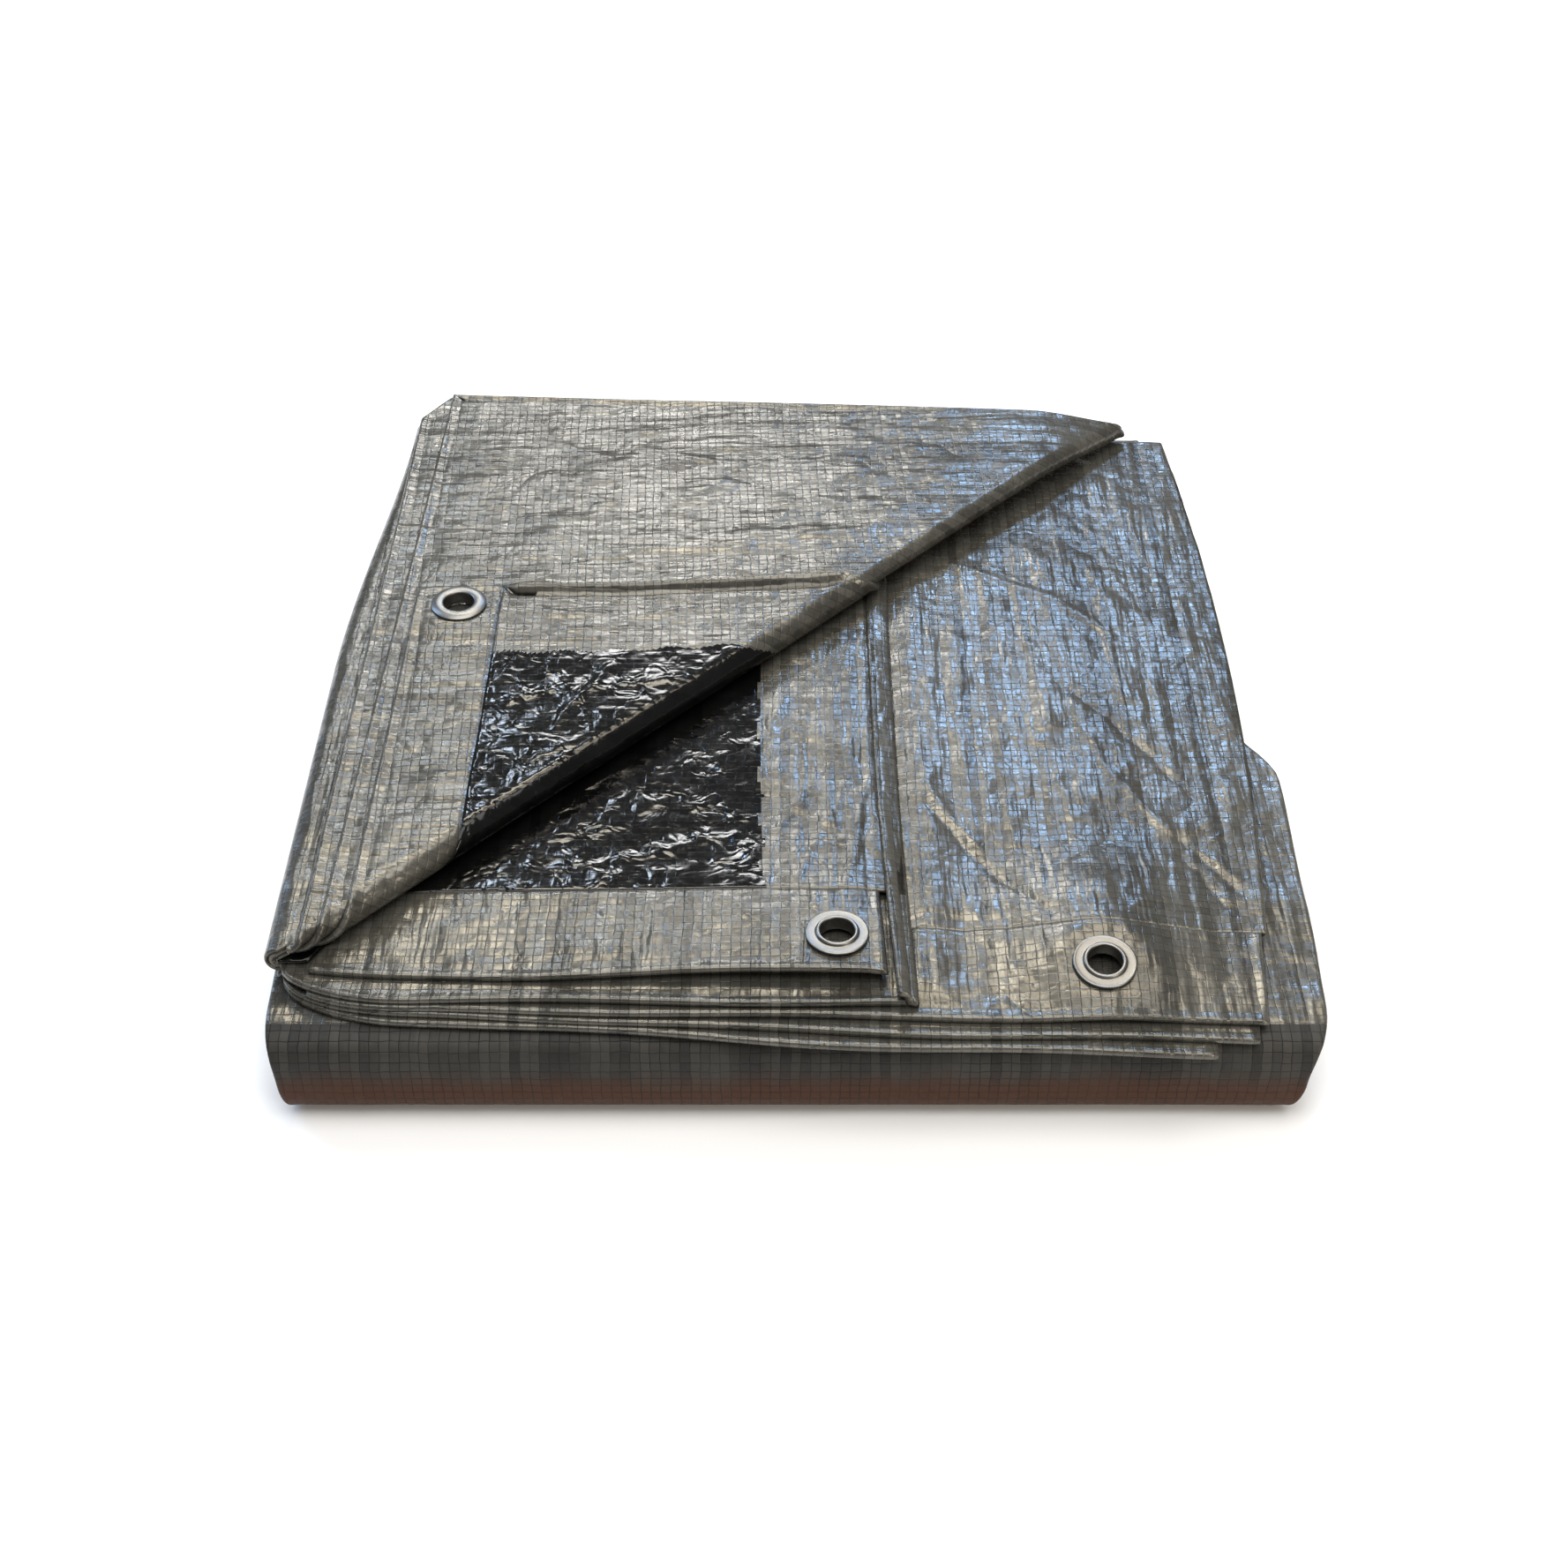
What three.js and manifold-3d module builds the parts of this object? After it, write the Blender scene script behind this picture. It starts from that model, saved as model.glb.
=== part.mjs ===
// A square of silver and black woven sheeting folded into a flat stack, one corner turned back.
// Millimetres, Z up. The stack rests on z = 0 with its long front fold toward -Y.
import * as THREE from 'three';
import Module from 'manifold-3d';

const wasm = await Module();
wasm.setup();
const { Manifold, Mesh } = wasm;

// Middle of the stack's plan in the layout below; everything is moved so that it becomes the origin.
const PLAN_CENTRE = { x: 3.0, y: -8.535 };

// Lower stack: ten passes of cloth, folded back and forth, with five nested folds at the front.
const BLOCK_SHEET = 1.8;
const BLOCK_PITCH = 3.55;
const BLOCK_FRONT_CENTRE = -164.0;
const FRONT_FLATNESS = 3.4;
const FRONT_BULGE = 1.08;
const BLOCK_COLUMNS = 7;
// One row for each pass from the bottom up: how far its ends stop short, and where it turns at the back.
const BLOCK_PASSES = [
  { left: 6.0, right: 12.0, back: 158.0 },
  { left: 5.0, right: 10.0, back: 156.5 },
  { left: 3.0, right: 7.0, back: 161.0 },
  { left: 4.0, right: 5.0, back: 160.0 },
  { left: 2.0, right: 3.5, back: 152.0 },
  { left: 0.5, right: 3.0, back: 159.0 },
  { left: 1.5, right: 1.5, back: 158.0 },
  { left: 0.0, right: 2.0, back: 156.0 },
  { left: 1.0, right: 0.5, back: 157.0 },
  { left: 0.0, right: 0.0, back: 158.5 },
];
// The order in which the cloth runs through the passes, from its inner end.
const BLOCK_ORDER = [5, 6, 7, 4, 3, 8, 9, 2, 1, 10];
// Plan of the lower stack: its left and right ends at stations from front to back.
const BLOCK_PLAN = [
  { y: -182, left: -166.0, right: 170.0 },
  { y: -120, left: -167.0, right: 172.5 },
  { y: -55, left: -168.0, right: 174.0 },
  { y: -26, left: -167.2, right: 161.5 },
  { y: 30, left: -165.0, right: 160.0 },
  { y: 100, left: -160.0, right: 157.0 },
  { y: 165, left: -154.0, right: 150.0 },
];

// Upper layers: thinner and packed closer. Levels are the middles of the sheets.
const SHEET = 1.4;
const HEM_SHEET = 1.5;
const LEVEL = { E: 35.3, D: 37.0, C: 39.1, A2: 40.9, A: 42.7, B: 44.5, C1: 46.3, D1: 48.1 };
const SPINE_X = -162.5;
const SPINE_SKEW = { start: -10.0, reach: 165.0, shift: 10.0 };
const SPINE_FRONT = -153.5;
const STUB_FRONT = -147.0;
const STUB_DROP = 0.25;
const SPINE_STUB = -154.5;
const LAYER_BACK = 154.0;
const HEM_WIDTH = 38.0;
const FLAP_HEM_WIDTH = 31.0;
const GAP = 0.45;
// Left end of the eyelet strips: it slants from the front edge to the strip's inner edge.
const STRIP_LEFT = { front: -154.0, inner: -136.0, clear: 1.2 };
// One row for each base layer: its front edge and how far that is drawn back at the left, its right edge
// at the front and at the back with the bow between them, and the rise of the eyelet strip on it.
const BASE = {
  E: { front: -184.5, draw: 11.5, right: 133.0, rightBack: 145.0, bow: 4.0 },
  D: { front: -180.0, draw: 8.5, right: 146.5, rightBack: 155.0, bow: 9.0 },
  C: { front: -174.5, draw: 3.5, right: 149.5, rightBack: 158.0, bow: 10.0, rise: -0.15 },
  A2: { front: -170.5, draw: 2.0, right: 40.5, rightBack: 40.5, bow: -3.0 },
  A: { front: -160.5, draw: 0.0, right: 32.0, rightBack: 32.0, bow: -4.0, rise: 0.0 },
};
const FRONT_DRAW = { start: -130.0, reach: 190.0 };

// The turned-back corner: the line where the fold leaves the base, its bearing and its middle height.
const FOLD_POINT = { x: 0, y: 12 };
const FOLD_BEARING = 46 * Math.PI / 180;
const FOLD_HEIGHT = 49.9;
const FOLD_STEPS = 8;
const FLAP_LEFT = -159.5;
// The two lower turned layers droop where nothing lies under their far end.
const FAR_DROOP = { start: 100.0, reach: 45.0, drop: 5.0 };
// Outlines of the three turned layers as they lay before the corner was turned back.
const FLAP = {
  B: { frontLeft: -148.0, frontRight: -138.5, rightFront: 29.0, rightBack: 40.0 },
  C1: { frontLeft: -152.0, frontRight: -133.0, rightFront: 167.5, rightBack: 143.0 },
  D1: { frontLeft: -154.0, frontRight: -141.0, rightFront: 165.0, rightBack: 142.0, cut: 16.0 },
};

// Eyelets: pressed rings with a curled washer side and a rounded side.
const BORE_RADIUS = 5.5;
const FLANGE_RADIUS = 10.25;
const BARREL_RADIUS = 6.3;
const EYELET_SIDES = 24;
const EYELETS = {
  upper: { x: 15.0, y: -145.0 },
  middle: { x: 100.0, y: -154.0 },
  flap: { x: -122.5, y: 13.0 },
};
// Where the cloth is held up round each eyelet.
const LIFTS = {
  A: { x: 12, y: -158, reachX: 120, reachY: 82, height: 3.6 },
  C: { x: 100, y: -136, reachX: 46, reachY: 52, height: 5.2 },
  B: { x: -124, y: 14, reachX: 70, reachY: 70, height: 3.0 },
};

const lerp = (a, b, t) => a + (b - a) * t;
const clamp01 = (t) => Math.min(1, Math.max(0, t));
const ease = (t) => { const c = clamp01(t); return c * c * (3 - 2 * c); };

function station(table, y, field) {
  let k = 0;
  while (k < table.length - 2 && y > table[k + 1].y) k += 1;
  return lerp(table[k][field], table[k + 1][field], ease((y - table[k].y) / (table[k + 1].y - table[k].y)));
}

function lift(name, x, y) {
  const l = LIFTS[name];
  if (!l) return 0;
  const r = Math.hypot((x - l.x) / l.reachX, (y - l.y) / l.reachY);
  return r < 1 ? l.height * 0.5 * (1 + Math.cos(Math.PI * r)) : 0;
}

// The slight lie of the upper layers: they sag over the rounded front edge at the right.
function lie(x, y) {
  const wave = 0.45 * Math.sin(x / 41 + 0.8) * Math.sin(y / 53 - 0.4);
  return wave - 1.6 * ease((x - 30) / 110) * ease((-152 - y) / 30) - 0.9 * ease((x - 90) / 80);
}

// A closed solid from a grid of points on the middle of a sheet.
function sheetSolid(rows, cols, pointAt, thickness) {
  const P = [];
  for (let i = 0; i < rows; i += 1) {
    for (let j = 0; j < cols; j += 1) P.push(pointAt(i, j));
  }
  const at = (i, j) => P[i * cols + j];
  const verts = new Float32Array(rows * cols * 6);
  const half = rows * cols;
  for (let i = 0; i < rows; i += 1) {
    for (let j = 0; j < cols; j += 1) {
      const du = at(Math.min(i + 1, rows - 1), j).clone().sub(at(Math.max(i - 1, 0), j)).normalize();
      const dv = at(i, Math.min(j + 1, cols - 1)).clone().sub(at(i, Math.max(j - 1, 0))).normalize();
      const n = du.cross(dv).normalize().multiplyScalar(thickness / 2);
      const k = i * cols + j;
      at(i, j).clone().add(n).toArray(verts, k * 3);
      at(i, j).clone().sub(n).toArray(verts, (half + k) * 3);
    }
  }
  const tris = [];
  const quad = (a, b, c, d) => tris.push(a, b, c, a, c, d);
  for (let i = 0; i < rows - 1; i += 1) {
    for (let j = 0; j < cols - 1; j += 1) {
      const a = i * cols + j, b = a + cols, c = b + 1, d = a + 1;
      quad(a, b, c, d);
      quad(half + a, half + d, half + c, half + b);
    }
  }
  for (let i = 0; i < rows - 1; i += 1) {
    const a = i * cols, b = a + cols, c = a + cols - 1, d = c + cols;
    quad(half + a, half + b, b, a);
    quad(c, d, half + d, half + c);
  }
  for (let j = 0; j < cols - 1; j += 1) {
    const a = j, b = j + 1, c = (rows - 1) * cols + j, d = c + 1;
    quad(a, b, half + b, half + a);
    quad(half + c, half + d, d, c);
  }
  return solidOf(verts, new Uint32Array(tris));
}

function solidOf(vertProperties, triVerts) {
  const mesh = new Mesh({ numProp: 3, vertProperties, triVerts });
  mesh.merge();
  return new Manifold(mesh);
}

// Lower stack: one long ribbon that follows BLOCK_ORDER through the passes and up into layer E.
function lowerStack() {
  const z = (k) => BLOCK_SHEET / 2 + BLOCK_PITCH * (k - 1);
  const rows = [];
  const put = (y, zz, k, kNext = k, t = 0) => {
    const a = BLOCK_PASSES[k - 1], b = BLOCK_PASSES[kNext - 1];
    rows.push({ y, z: zz, left: lerp(a.left, b.left, t), right: lerp(a.right, b.right, t) });
  };
  const run = (k, from, to) => {
    const marks = BLOCK_PLAN.map((row) => row.y).filter((y) => y > BLOCK_FRONT_CENTRE + 9 && y < 140);
    for (const y of from < to ? marks : marks.reverse()) put(y, z(k), k);
  };
  const frontTurn = (k, next) => {
    const middle = (z(k) + z(next)) / 2, high = (z(next) - z(k)) / 2;
    const reach = Math.abs(high) * FRONT_BULGE;
    const steps = Math.max(5, Math.round(Math.abs(high)));
    for (let s = 0; s <= steps; s += 1) {
      const w = -Math.PI / 2 + Math.PI * s / steps;
      const c = Math.max(0, Math.cos(w)) ** (2 / FRONT_FLATNESS);
      const q = Math.sign(Math.sin(w)) * Math.abs(Math.sin(w)) ** (2 / FRONT_FLATNESS);
      put(BLOCK_FRONT_CENTRE - reach * c, middle + high * q, k, next, s / steps);
    }
  };
  const backTurn = (k, zTo, next) => {
    const y = BLOCK_PASSES[k - 1].back, middle = (z(k) + zTo) / 2, r = (zTo - z(k)) / 2;
    for (let s = 0; s <= 5; s += 1) {
      const w = -Math.PI / 2 + Math.PI * s / 5;
      put(y + Math.abs(r) * Math.cos(w), middle + r * Math.sin(w), k, next, s / 5);
    }
  };
  put(BLOCK_PASSES[BLOCK_ORDER[0] - 1].back, z(BLOCK_ORDER[0]), BLOCK_ORDER[0]);
  BLOCK_ORDER.forEach((k, n) => {
    const back = BLOCK_PASSES[k - 1].back;
    const next = BLOCK_ORDER[n + 1];
    const forward = n % 2 === 0;
    const from = forward ? (n ? BLOCK_PASSES[BLOCK_ORDER[n - 1] - 1].back : back) : BLOCK_FRONT_CENTRE;
    run(k, from, forward ? BLOCK_FRONT_CENTRE : back);
    if (forward) frontTurn(k, next);
    else if (next) backTurn(k, z(next), next);
    else backTurn(k, LEVEL.E - STUB_DROP, k);
  });
  put(LAYER_BACK - 14, LEVEL.E - STUB_DROP, BLOCK_ORDER[BLOCK_ORDER.length - 1]);
  return rows;
}

function blockSolid() {
  const rows = lowerStack();
  return sheetSolid(rows.length, BLOCK_COLUMNS, (i, j) => {
    const r = rows[i];
    const left = station(BLOCK_PLAN, r.y, 'left') + r.left;
    const right = station(BLOCK_PLAN, r.y, 'right') - r.right;
    return new THREE.Vector3(lerp(left, right, j / (BLOCK_COLUMNS - 1)), r.y, r.z);
  }, BLOCK_SHEET);
}

// A layer's front edge: it slants back to the left and is gathered there, where all the hems meet.
function frontEdge(layer, x) {
  const out = 1 - clamp01((x - SPINE_X) / 42);
  const slant = layer.draw * (1 - ease((x - FRONT_DRAW.start) / FRONT_DRAW.reach));
  const front = layer.front + slant + 0.6 * Math.sin(x / 19 + layer.front);
  return lerp(SPINE_FRONT, front, Math.sqrt(1 - out * out));
}

function rightEdge(layer, y) {
  const t = (y - layer.front) / (LAYER_BACK - layer.front);
  return lerp(layer.right, layer.rightBack, t) + layer.bow * 4 * t * (1 - t);
}

// The left spine leans in toward the back; the lean fades out across the stack.
function lean(x, y) {
  const fade = 1 - ease((x - SPINE_X) / 120);
  return SPINE_SKEW.shift * ease((y - SPINE_SKEW.start) / SPINE_SKEW.reach) * fade;
}

// Ribbons of base layers: rows run across the stack, columns from the front edge to the back.
function baseRibbon(rows, columns) {
  return sheetSolid(rows.length, columns, (i, j) => {
    const r = rows[i];
    const y = lerp(r.front, LAYER_BACK, j / (columns - 1));
    const across = r.edge ? lerp(r.x, rightEdge(r.edge, y) + r.past, r.mix) : r.x;
    const x = across + lean(across, y);
    return new THREE.Vector3(x, y, r.z + lie(x, y) + lift(r.name, x, y));
  }, SHEET);
}

const LEFT_END = SPINE_X + 1;

// The front edge of a layer's cloth: behind the eyelet strip where the layer carries one.
function clothFront(name, strip, x) {
  const { front } = BASE[name];
  if (!strip) return frontEdge(BASE[name], x);
  const t = clamp01((x - STRIP_LEFT.front) / (STRIP_LEFT.inner - STRIP_LEFT.front));
  return lerp(SPINE_FRONT, front + HEM_WIDTH, t);
}

function layerRows(name, leftward, strip, steps) {
  const layer = BASE[name];
  const stations = [LEFT_END, -157, STRIP_LEFT.front, STRIP_LEFT.inner];
  for (let s = 1; s <= steps; s += 1) stations.push(lerp(STRIP_LEFT.inner, layer.right, s / steps));
  const rows = stations.map((x) => ({
    name, x: LEFT_END, z: LEVEL[name], front: clothFront(name, strip, x),
    edge: layer, past: 0, mix: (x - LEFT_END) / (layer.right - LEFT_END),
  }));
  return leftward ? rows.reverse() : rows;
}

// A turn at the right from one layer to the next above it.
function rightTurn(low, high, frontLow, frontHigh) {
  const rows = [];
  const middle = (LEVEL[low] + LEVEL[high]) / 2, r = (LEVEL[high] - LEVEL[low]) / 2;
  for (let s = 1; s < 5; s += 1) {
    const w = -Math.PI / 2 + Math.PI * s / 5;
    const t = s / 5;
    const edge = { ...BASE[low] };
    edge.right = lerp(BASE[low].right, BASE[high].right, t);
    edge.rightBack = lerp(BASE[low].rightBack, BASE[high].rightBack, t);
    edge.bow = lerp(BASE[low].bow, BASE[high].bow, t);
    edge.front = lerp(BASE[low].front, BASE[high].front, t);
    rows.push({ name: s > 2 ? high : null, x: 0, z: middle + r * Math.sin(w),
      front: s > 2 ? frontHigh : frontLow, edge, past: r * Math.cos(w), mix: 1 });
  }
  return rows;
}

// A turn round the left spine between two levels, rising or falling.
function spineTurn(zFrom, zTo, x, steps) {
  const rows = [];
  const middle = (zFrom + zTo) / 2, r = (zTo - zFrom) / 2;
  for (let s = 0; s <= steps; s += 1) {
    const w = -Math.PI / 2 + Math.PI * s / steps;
    rows.push({
      name: null, x: x - Math.abs(r) * Math.cos(w), z: middle + r * Math.sin(w), front: SPINE_FRONT,
    });
  }
  return rows;
}

function outerRibbon() {
  const hemInner = BASE.C.front + HEM_WIDTH;
  return baseRibbon([
    ...layerRows('E', true, false, 5),
    ...spineTurn(LEVEL.E, LEVEL.D, SPINE_X, 5),
    ...layerRows('D', false, false, 5),
    ...rightTurn('D', 'C', BASE.D.front, hemInner),
    ...layerRows('C', true, true, 6),
    ...spineTurn(LEVEL.C, LEVEL.D1 - STUB_DROP, SPINE_X, 9),
    { name: null, x: SPINE_STUB, z: LEVEL.D1 - STUB_DROP, front: STUB_FRONT },
  ], 8);
}

function innerRibbon() {
  const hemInner = BASE.A.front + HEM_WIDTH;
  return baseRibbon([
    { name: null, x: SPINE_STUB, z: LEVEL.C1 - STUB_DROP, front: STUB_FRONT },
    ...spineTurn(LEVEL.C1 - STUB_DROP, LEVEL.A2, SPINE_X, 7),
    ...layerRows('A2', false, false, 5),
    ...rightTurn('A2', 'A', BASE.A2.front, hemInner),
    ...layerRows('A', true, true, 5),
    ...spineTurn(LEVEL.A, LEVEL.B - STUB_DROP, SPINE_X, 5),
    { name: null, x: SPINE_STUB, z: LEVEL.B - STUB_DROP, front: STUB_FRONT },
  ], 8);
}

// Turned-back layers: each lies flat, rounds the fold line on its own radius and lies flat again.
const ALONG = { x: Math.cos(FOLD_BEARING), y: Math.sin(FOLD_BEARING) };
const ACROSS = { x: Math.sin(FOLD_BEARING), y: -Math.cos(FOLD_BEARING) };

function foldPoint(name, along, across) {
  const r = FOLD_HEIGHT - LEVEL[name];
  const w = Math.min(Math.PI, Math.max(0, across / r));
  const d = across <= 0 ? across : r * Math.sin(w) - Math.max(0, across - Math.PI * r);
  const x = FOLD_POINT.x + along * ALONG.x + d * ACROSS.x;
  const y = FOLD_POINT.y + along * ALONG.y + d * ACROSS.y;
  const droop = FAR_DROOP.drop * ease((x - FAR_DROOP.start) / FAR_DROOP.reach);
  const z = FOLD_HEIGHT - r * Math.cos(w) + lie(x, y) - droop + (w >= Math.PI ? lift(name, x, y) : 0);
  return new THREE.Vector3(x, y, z);
}

const alongOf = (p) => (p.x - FOLD_POINT.x) * ALONG.x + (p.y - FOLD_POINT.y) * ALONG.y;
const acrossOf = (p) => (p.x - FOLD_POINT.x) * ACROSS.x + (p.y - FOLD_POINT.y) * ACROSS.y;

// Ends of the line at one distance across the fold where it leaves a convex outline.
function chord(outline, across) {
  const ends = [];
  outline.forEach((p, k) => {
    const q = outline[(k + 1) % outline.length];
    const a = acrossOf(p), b = acrossOf(q);
    if ((a - across) * (b - across) <= 0 && a !== b) {
      ends.push(lerp(alongOf(p), alongOf(q), (across - a) / (b - a)));
    }
  });
  return [Math.min(...ends), Math.max(...ends)];
}

function flapSheet(name, outline, thickness, columns, corner = 2.5) {
  const r = FOLD_HEIGHT - LEVEL[name];
  const d = outline.map(acrossOf);
  const first = Math.min(...d) + corner, last = Math.max(...d) - corner;
  const marks = [first, last, ...d];
  for (let s = 0; s <= FOLD_STEPS; s += 1) marks.push(Math.PI * r * s / FOLD_STEPS);
  for (let s = 1; s < 7; s += 1) marks.push(lerp(first, 0, s / 7), lerp(Math.PI * r, last, s / 7));
  const across = marks.filter((m) => m >= first && m <= last).sort((a, b) => a - b)
    .filter((m, k, all) => k === 0 || m - all[k - 1] > 0.4);
  return sheetSolid(across.length, columns, (i, j) => {
    const [low, high] = chord(outline, across[i]);
    return foldPoint(name, lerp(low, high, j / (columns - 1)), across[i]);
  }, thickness);
}

function flapOutline(name, frontInset = 0) {
  const f = FLAP[name];
  const corner = { x: f.rightFront, y: f.frontRight + frontInset };
  const cut = f.cut || 0;
  const corners = cut ? [{ x: corner.x - cut, y: corner.y - 0.03 * cut }, { x: corner.x - 0.05 * cut,
    y: corner.y + 0.7 * cut }] : [corner];
  return [
    { x: FLAP_LEFT, y: f.frontLeft + frontInset }, ...corners,
    { x: f.rightBack, y: LAYER_BACK }, { x: FLAP_LEFT + SPINE_SKEW.shift, y: LAYER_BACK },
    { x: FLAP_LEFT + 0.35 * SPINE_SKEW.shift, y: 60 }, { x: FLAP_LEFT, y: 0 },
  ];
}

const hemStart = Math.PI * (FOLD_HEIGHT - LEVEL.B) + 4;
const hemRun = FLAP.B.rightFront - FLAP_LEFT;
const hemFront = (x) => lerp(FLAP.B.frontLeft, FLAP.B.frontRight, (x - FLAP_LEFT) / hemRun);

// The point on the flap's hem, a given width in from its front edge, at one distance across the fold.
function hemPoint(inset, across) {
  let x = -120;
  for (let n = 0; n < 40; n += 1) x += (across - acrossOf({ x, y: hemFront(x) + inset })) / ACROSS.x * 0.8;
  return { x, y: hemFront(x) + inset };
}

function flapSolid() {
  const inner = FLAP_HEM_WIDTH + GAP;
  const root = [
    { x: FLAP_LEFT, y: FLAP.B.frontLeft }, hemPoint(0, hemStart - GAP), hemPoint(inner + 3, hemStart - GAP),
    { x: FLAP_LEFT, y: FLAP.B.frontLeft + inner + 3 },
  ];
  return Manifold.union([
    flapSheet('D1', flapOutline('D1'), SHEET, 7),
    flapSheet('C1', flapOutline('C1'), SHEET, 7),
    flapSheet('B', flapOutline('B', inner), SHEET, 8),
    flapSheet('B', root, SHEET, 5),
    backFold(),
  ]);
}

// The fold that joins the two lower turned layers along their far edge.
function backFold() {
  const edge = (name, t) => {
    const f = FLAP[name];
    const p = { x: lerp(f.rightFront, f.rightBack, t), y: lerp(f.frontRight, LAYER_BACK, t) };
    return foldPoint(name, alongOf(p), acrossOf(p));
  };
  const steps = 8;
  const thick = LEVEL.D1 - LEVEL.C1;
  return sheetSolid(steps + 1, 2, (i, j) => {
    const t = lerp(0.03, 0.9, i / steps);
    const low = edge('D1', t), high = edge('C1', t);
    return new THREE.Vector3((low.x + high.x) / 2, low.y + (j ? 0.8 : -2.4), (low.z + high.z) / 2);
  }, thick);
}

// Height of a layer's middle, and the flat seat that an eyelet presses into its strip.
function layerHeight(layer, x, y) {
  const level = layer === 'B' ? 2 * FOLD_HEIGHT - LEVEL.B : LEVEL[layer] + BASE[layer].rise;
  return level + lie(x, y) + lift(layer, x, y);
}

function seatPlane(eyelet, layer) {
  const e = EYELETS[eyelet], h = 8;
  const east = layerHeight(layer, e.x + h, e.y), west = layerHeight(layer, e.x - h, e.y);
  const north = layerHeight(layer, e.x, e.y + h), south = layerHeight(layer, e.x, e.y - h);
  const z = (east + west + north + south) / 4, sx = (east - west) / (2 * h), sy = (north - south) / (2 * h);
  return { x: e.x, y: e.y, z, sx, sy, at: (x, y) => z + sx * (x - e.x) + sy * (y - e.y) };
}

// Hem strips that hold the eyelets.
function hemStrip(layer, eyelet, steps) {
  const { front, right } = BASE[layer];
  const plane = seatPlane(eyelet, layer);
  const inner = front + HEM_WIDTH - GAP;
  const stations = [];
  for (let s = 0; s <= steps; s += 1) stations.push(s / steps);
  const end = right - 4.4;
  for (const dx of [-42, -24, -12, 0, 12]) {
    const t = (plane.x + dx - STRIP_LEFT.front) / (end - STRIP_LEFT.front);
    if (t > 0.05 && t < 0.97) stations.push(t);
  }
  const along = stations.sort((a, b) => a - b).filter((t, k, all) => k === 0 || (t - all[k - 1]) > 0.012);
  const acrossEdge = (plane.y - front) / HEM_WIDTH, band = 12 / HEM_WIDTH;
  const across = [0, Math.max(0.08, acrossEdge - band), acrossEdge, acrossEdge + band, 1];
  return sheetSolid(along.length, across.length, (i, j) => {
    let left = STRIP_LEFT.front;
    for (let n = 0; n < 6; n += 1) {
      const y = lerp(frontEdge(BASE[layer], left), inner, across[j]);
      const slant = clamp01((y - SPINE_FRONT) / (inner - SPINE_FRONT));
      left = lerp(STRIP_LEFT.front, STRIP_LEFT.inner, slant) + STRIP_LEFT.clear;
    }
    const x = lerp(left, end, along[i]);
    const y = lerp(frontEdge(BASE[layer], x), inner, across[j]);
    const near = ease((Math.hypot(x - plane.x, y - plane.y) - 17) / 16);
    return new THREE.Vector3(x, y, lerp(plane.at(x, y), layerHeight(layer, x, y), near));
  }, HEM_SHEET);
}

function flapHem() {
  const f = FLAP.B;
  return flapSheet('B', [
    hemPoint(0, hemStart), { x: f.rightFront, y: f.frontRight },
    { x: f.rightFront, y: f.frontRight + FLAP_HEM_WIDTH },
    hemPoint(FLAP_HEM_WIDTH, hemStart),
  ], HEM_SHEET, 5, 3.0);
}

// Where an eyelet sits on its strip, and the way it faces.
function seat(eyelet, layer) {
  const plane = seatPlane(eyelet, layer);
  const normal = new THREE.Vector3(-plane.sx, -plane.sy, 1).normalize();
  const turn = new THREE.Quaternion().setFromUnitVectors(new THREE.Vector3(0, 0, 1), normal);
  return new THREE.Matrix4().compose(new THREE.Vector3(plane.x, plane.y, plane.z), turn,
    new THREE.Vector3(1, 1, 1));
}

// A ring turned from its section: washer side up, rounded side down.
function eyeletSolid(matrix, washerUp) {
  const face = HEM_SHEET / 2 + GAP + 0.25;
  const section = [
    [BORE_RADIUS, -face - 0.35], [BORE_RADIUS + 0.7, -face - 0.95], [BORE_RADIUS + 2.2, -face - 1.1],
    [FLANGE_RADIUS - 1.2, -face - 0.8], [FLANGE_RADIUS, -face], [BARREL_RADIUS, -face],
    [BARREL_RADIUS, face], [FLANGE_RADIUS, face], [FLANGE_RADIUS, face + 0.45],
    [FLANGE_RADIUS - 0.5, face + 0.7],
    [BORE_RADIUS + 1.5, face + 0.7], [BORE_RADIUS + 1.4, face + 1.3], [BORE_RADIUS + 0.7, face + 1.7],
    [BORE_RADIUS, face + 1.2],
  ];
  const n = section.length;
  const verts = new Float32Array(n * EYELET_SIDES * 3);
  const tris = [];
  const p = new THREE.Vector3();
  for (let i = 0; i < EYELET_SIDES; i += 1) {
    const w = 2 * Math.PI * i / EYELET_SIDES;
    section.forEach(([r, z], k) => {
      if (washerUp) p.set(r * Math.cos(w), r * Math.sin(w), z);
      else p.set(r * Math.cos(w), -r * Math.sin(w), -z);
      p.applyMatrix4(matrix).toArray(verts, (i * n + k) * 3);
      const a = i * n + k, b = i * n + (k + 1) % n;
      const c = ((i + 1) % EYELET_SIDES) * n + (k + 1) % n, d = ((i + 1) % EYELET_SIDES) * n + k;
      tris.push(a, c, b, a, d, c);
    });
  }
  return solidOf(verts, new Uint32Array(tris));
}

function boreCutter(matrix) {
  const m = matrix.elements;
  return Manifold.cylinder(20, BARREL_RADIUS + GAP + 0.15, BARREL_RADIUS + GAP + 0.15, EYELET_SIDES, true)
    .transform(Array.from(m));
}

const seats = { upper: seat('upper', 'A'), middle: seat('middle', 'C'), flap: seat('flap', 'B') };

const silver = new THREE.MeshStandardMaterial({ name: 'silver_film', color: 0x8b8d8c, roughness: 0.45 });
const metal = new THREE.MeshStandardMaterial({
  name: 'eyelet_metal', color: 0xc9cbcc, metalness: 1, roughness: 0.3,
});

const root = new THREE.Group();
root.name = 'folded_sheet';

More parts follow.
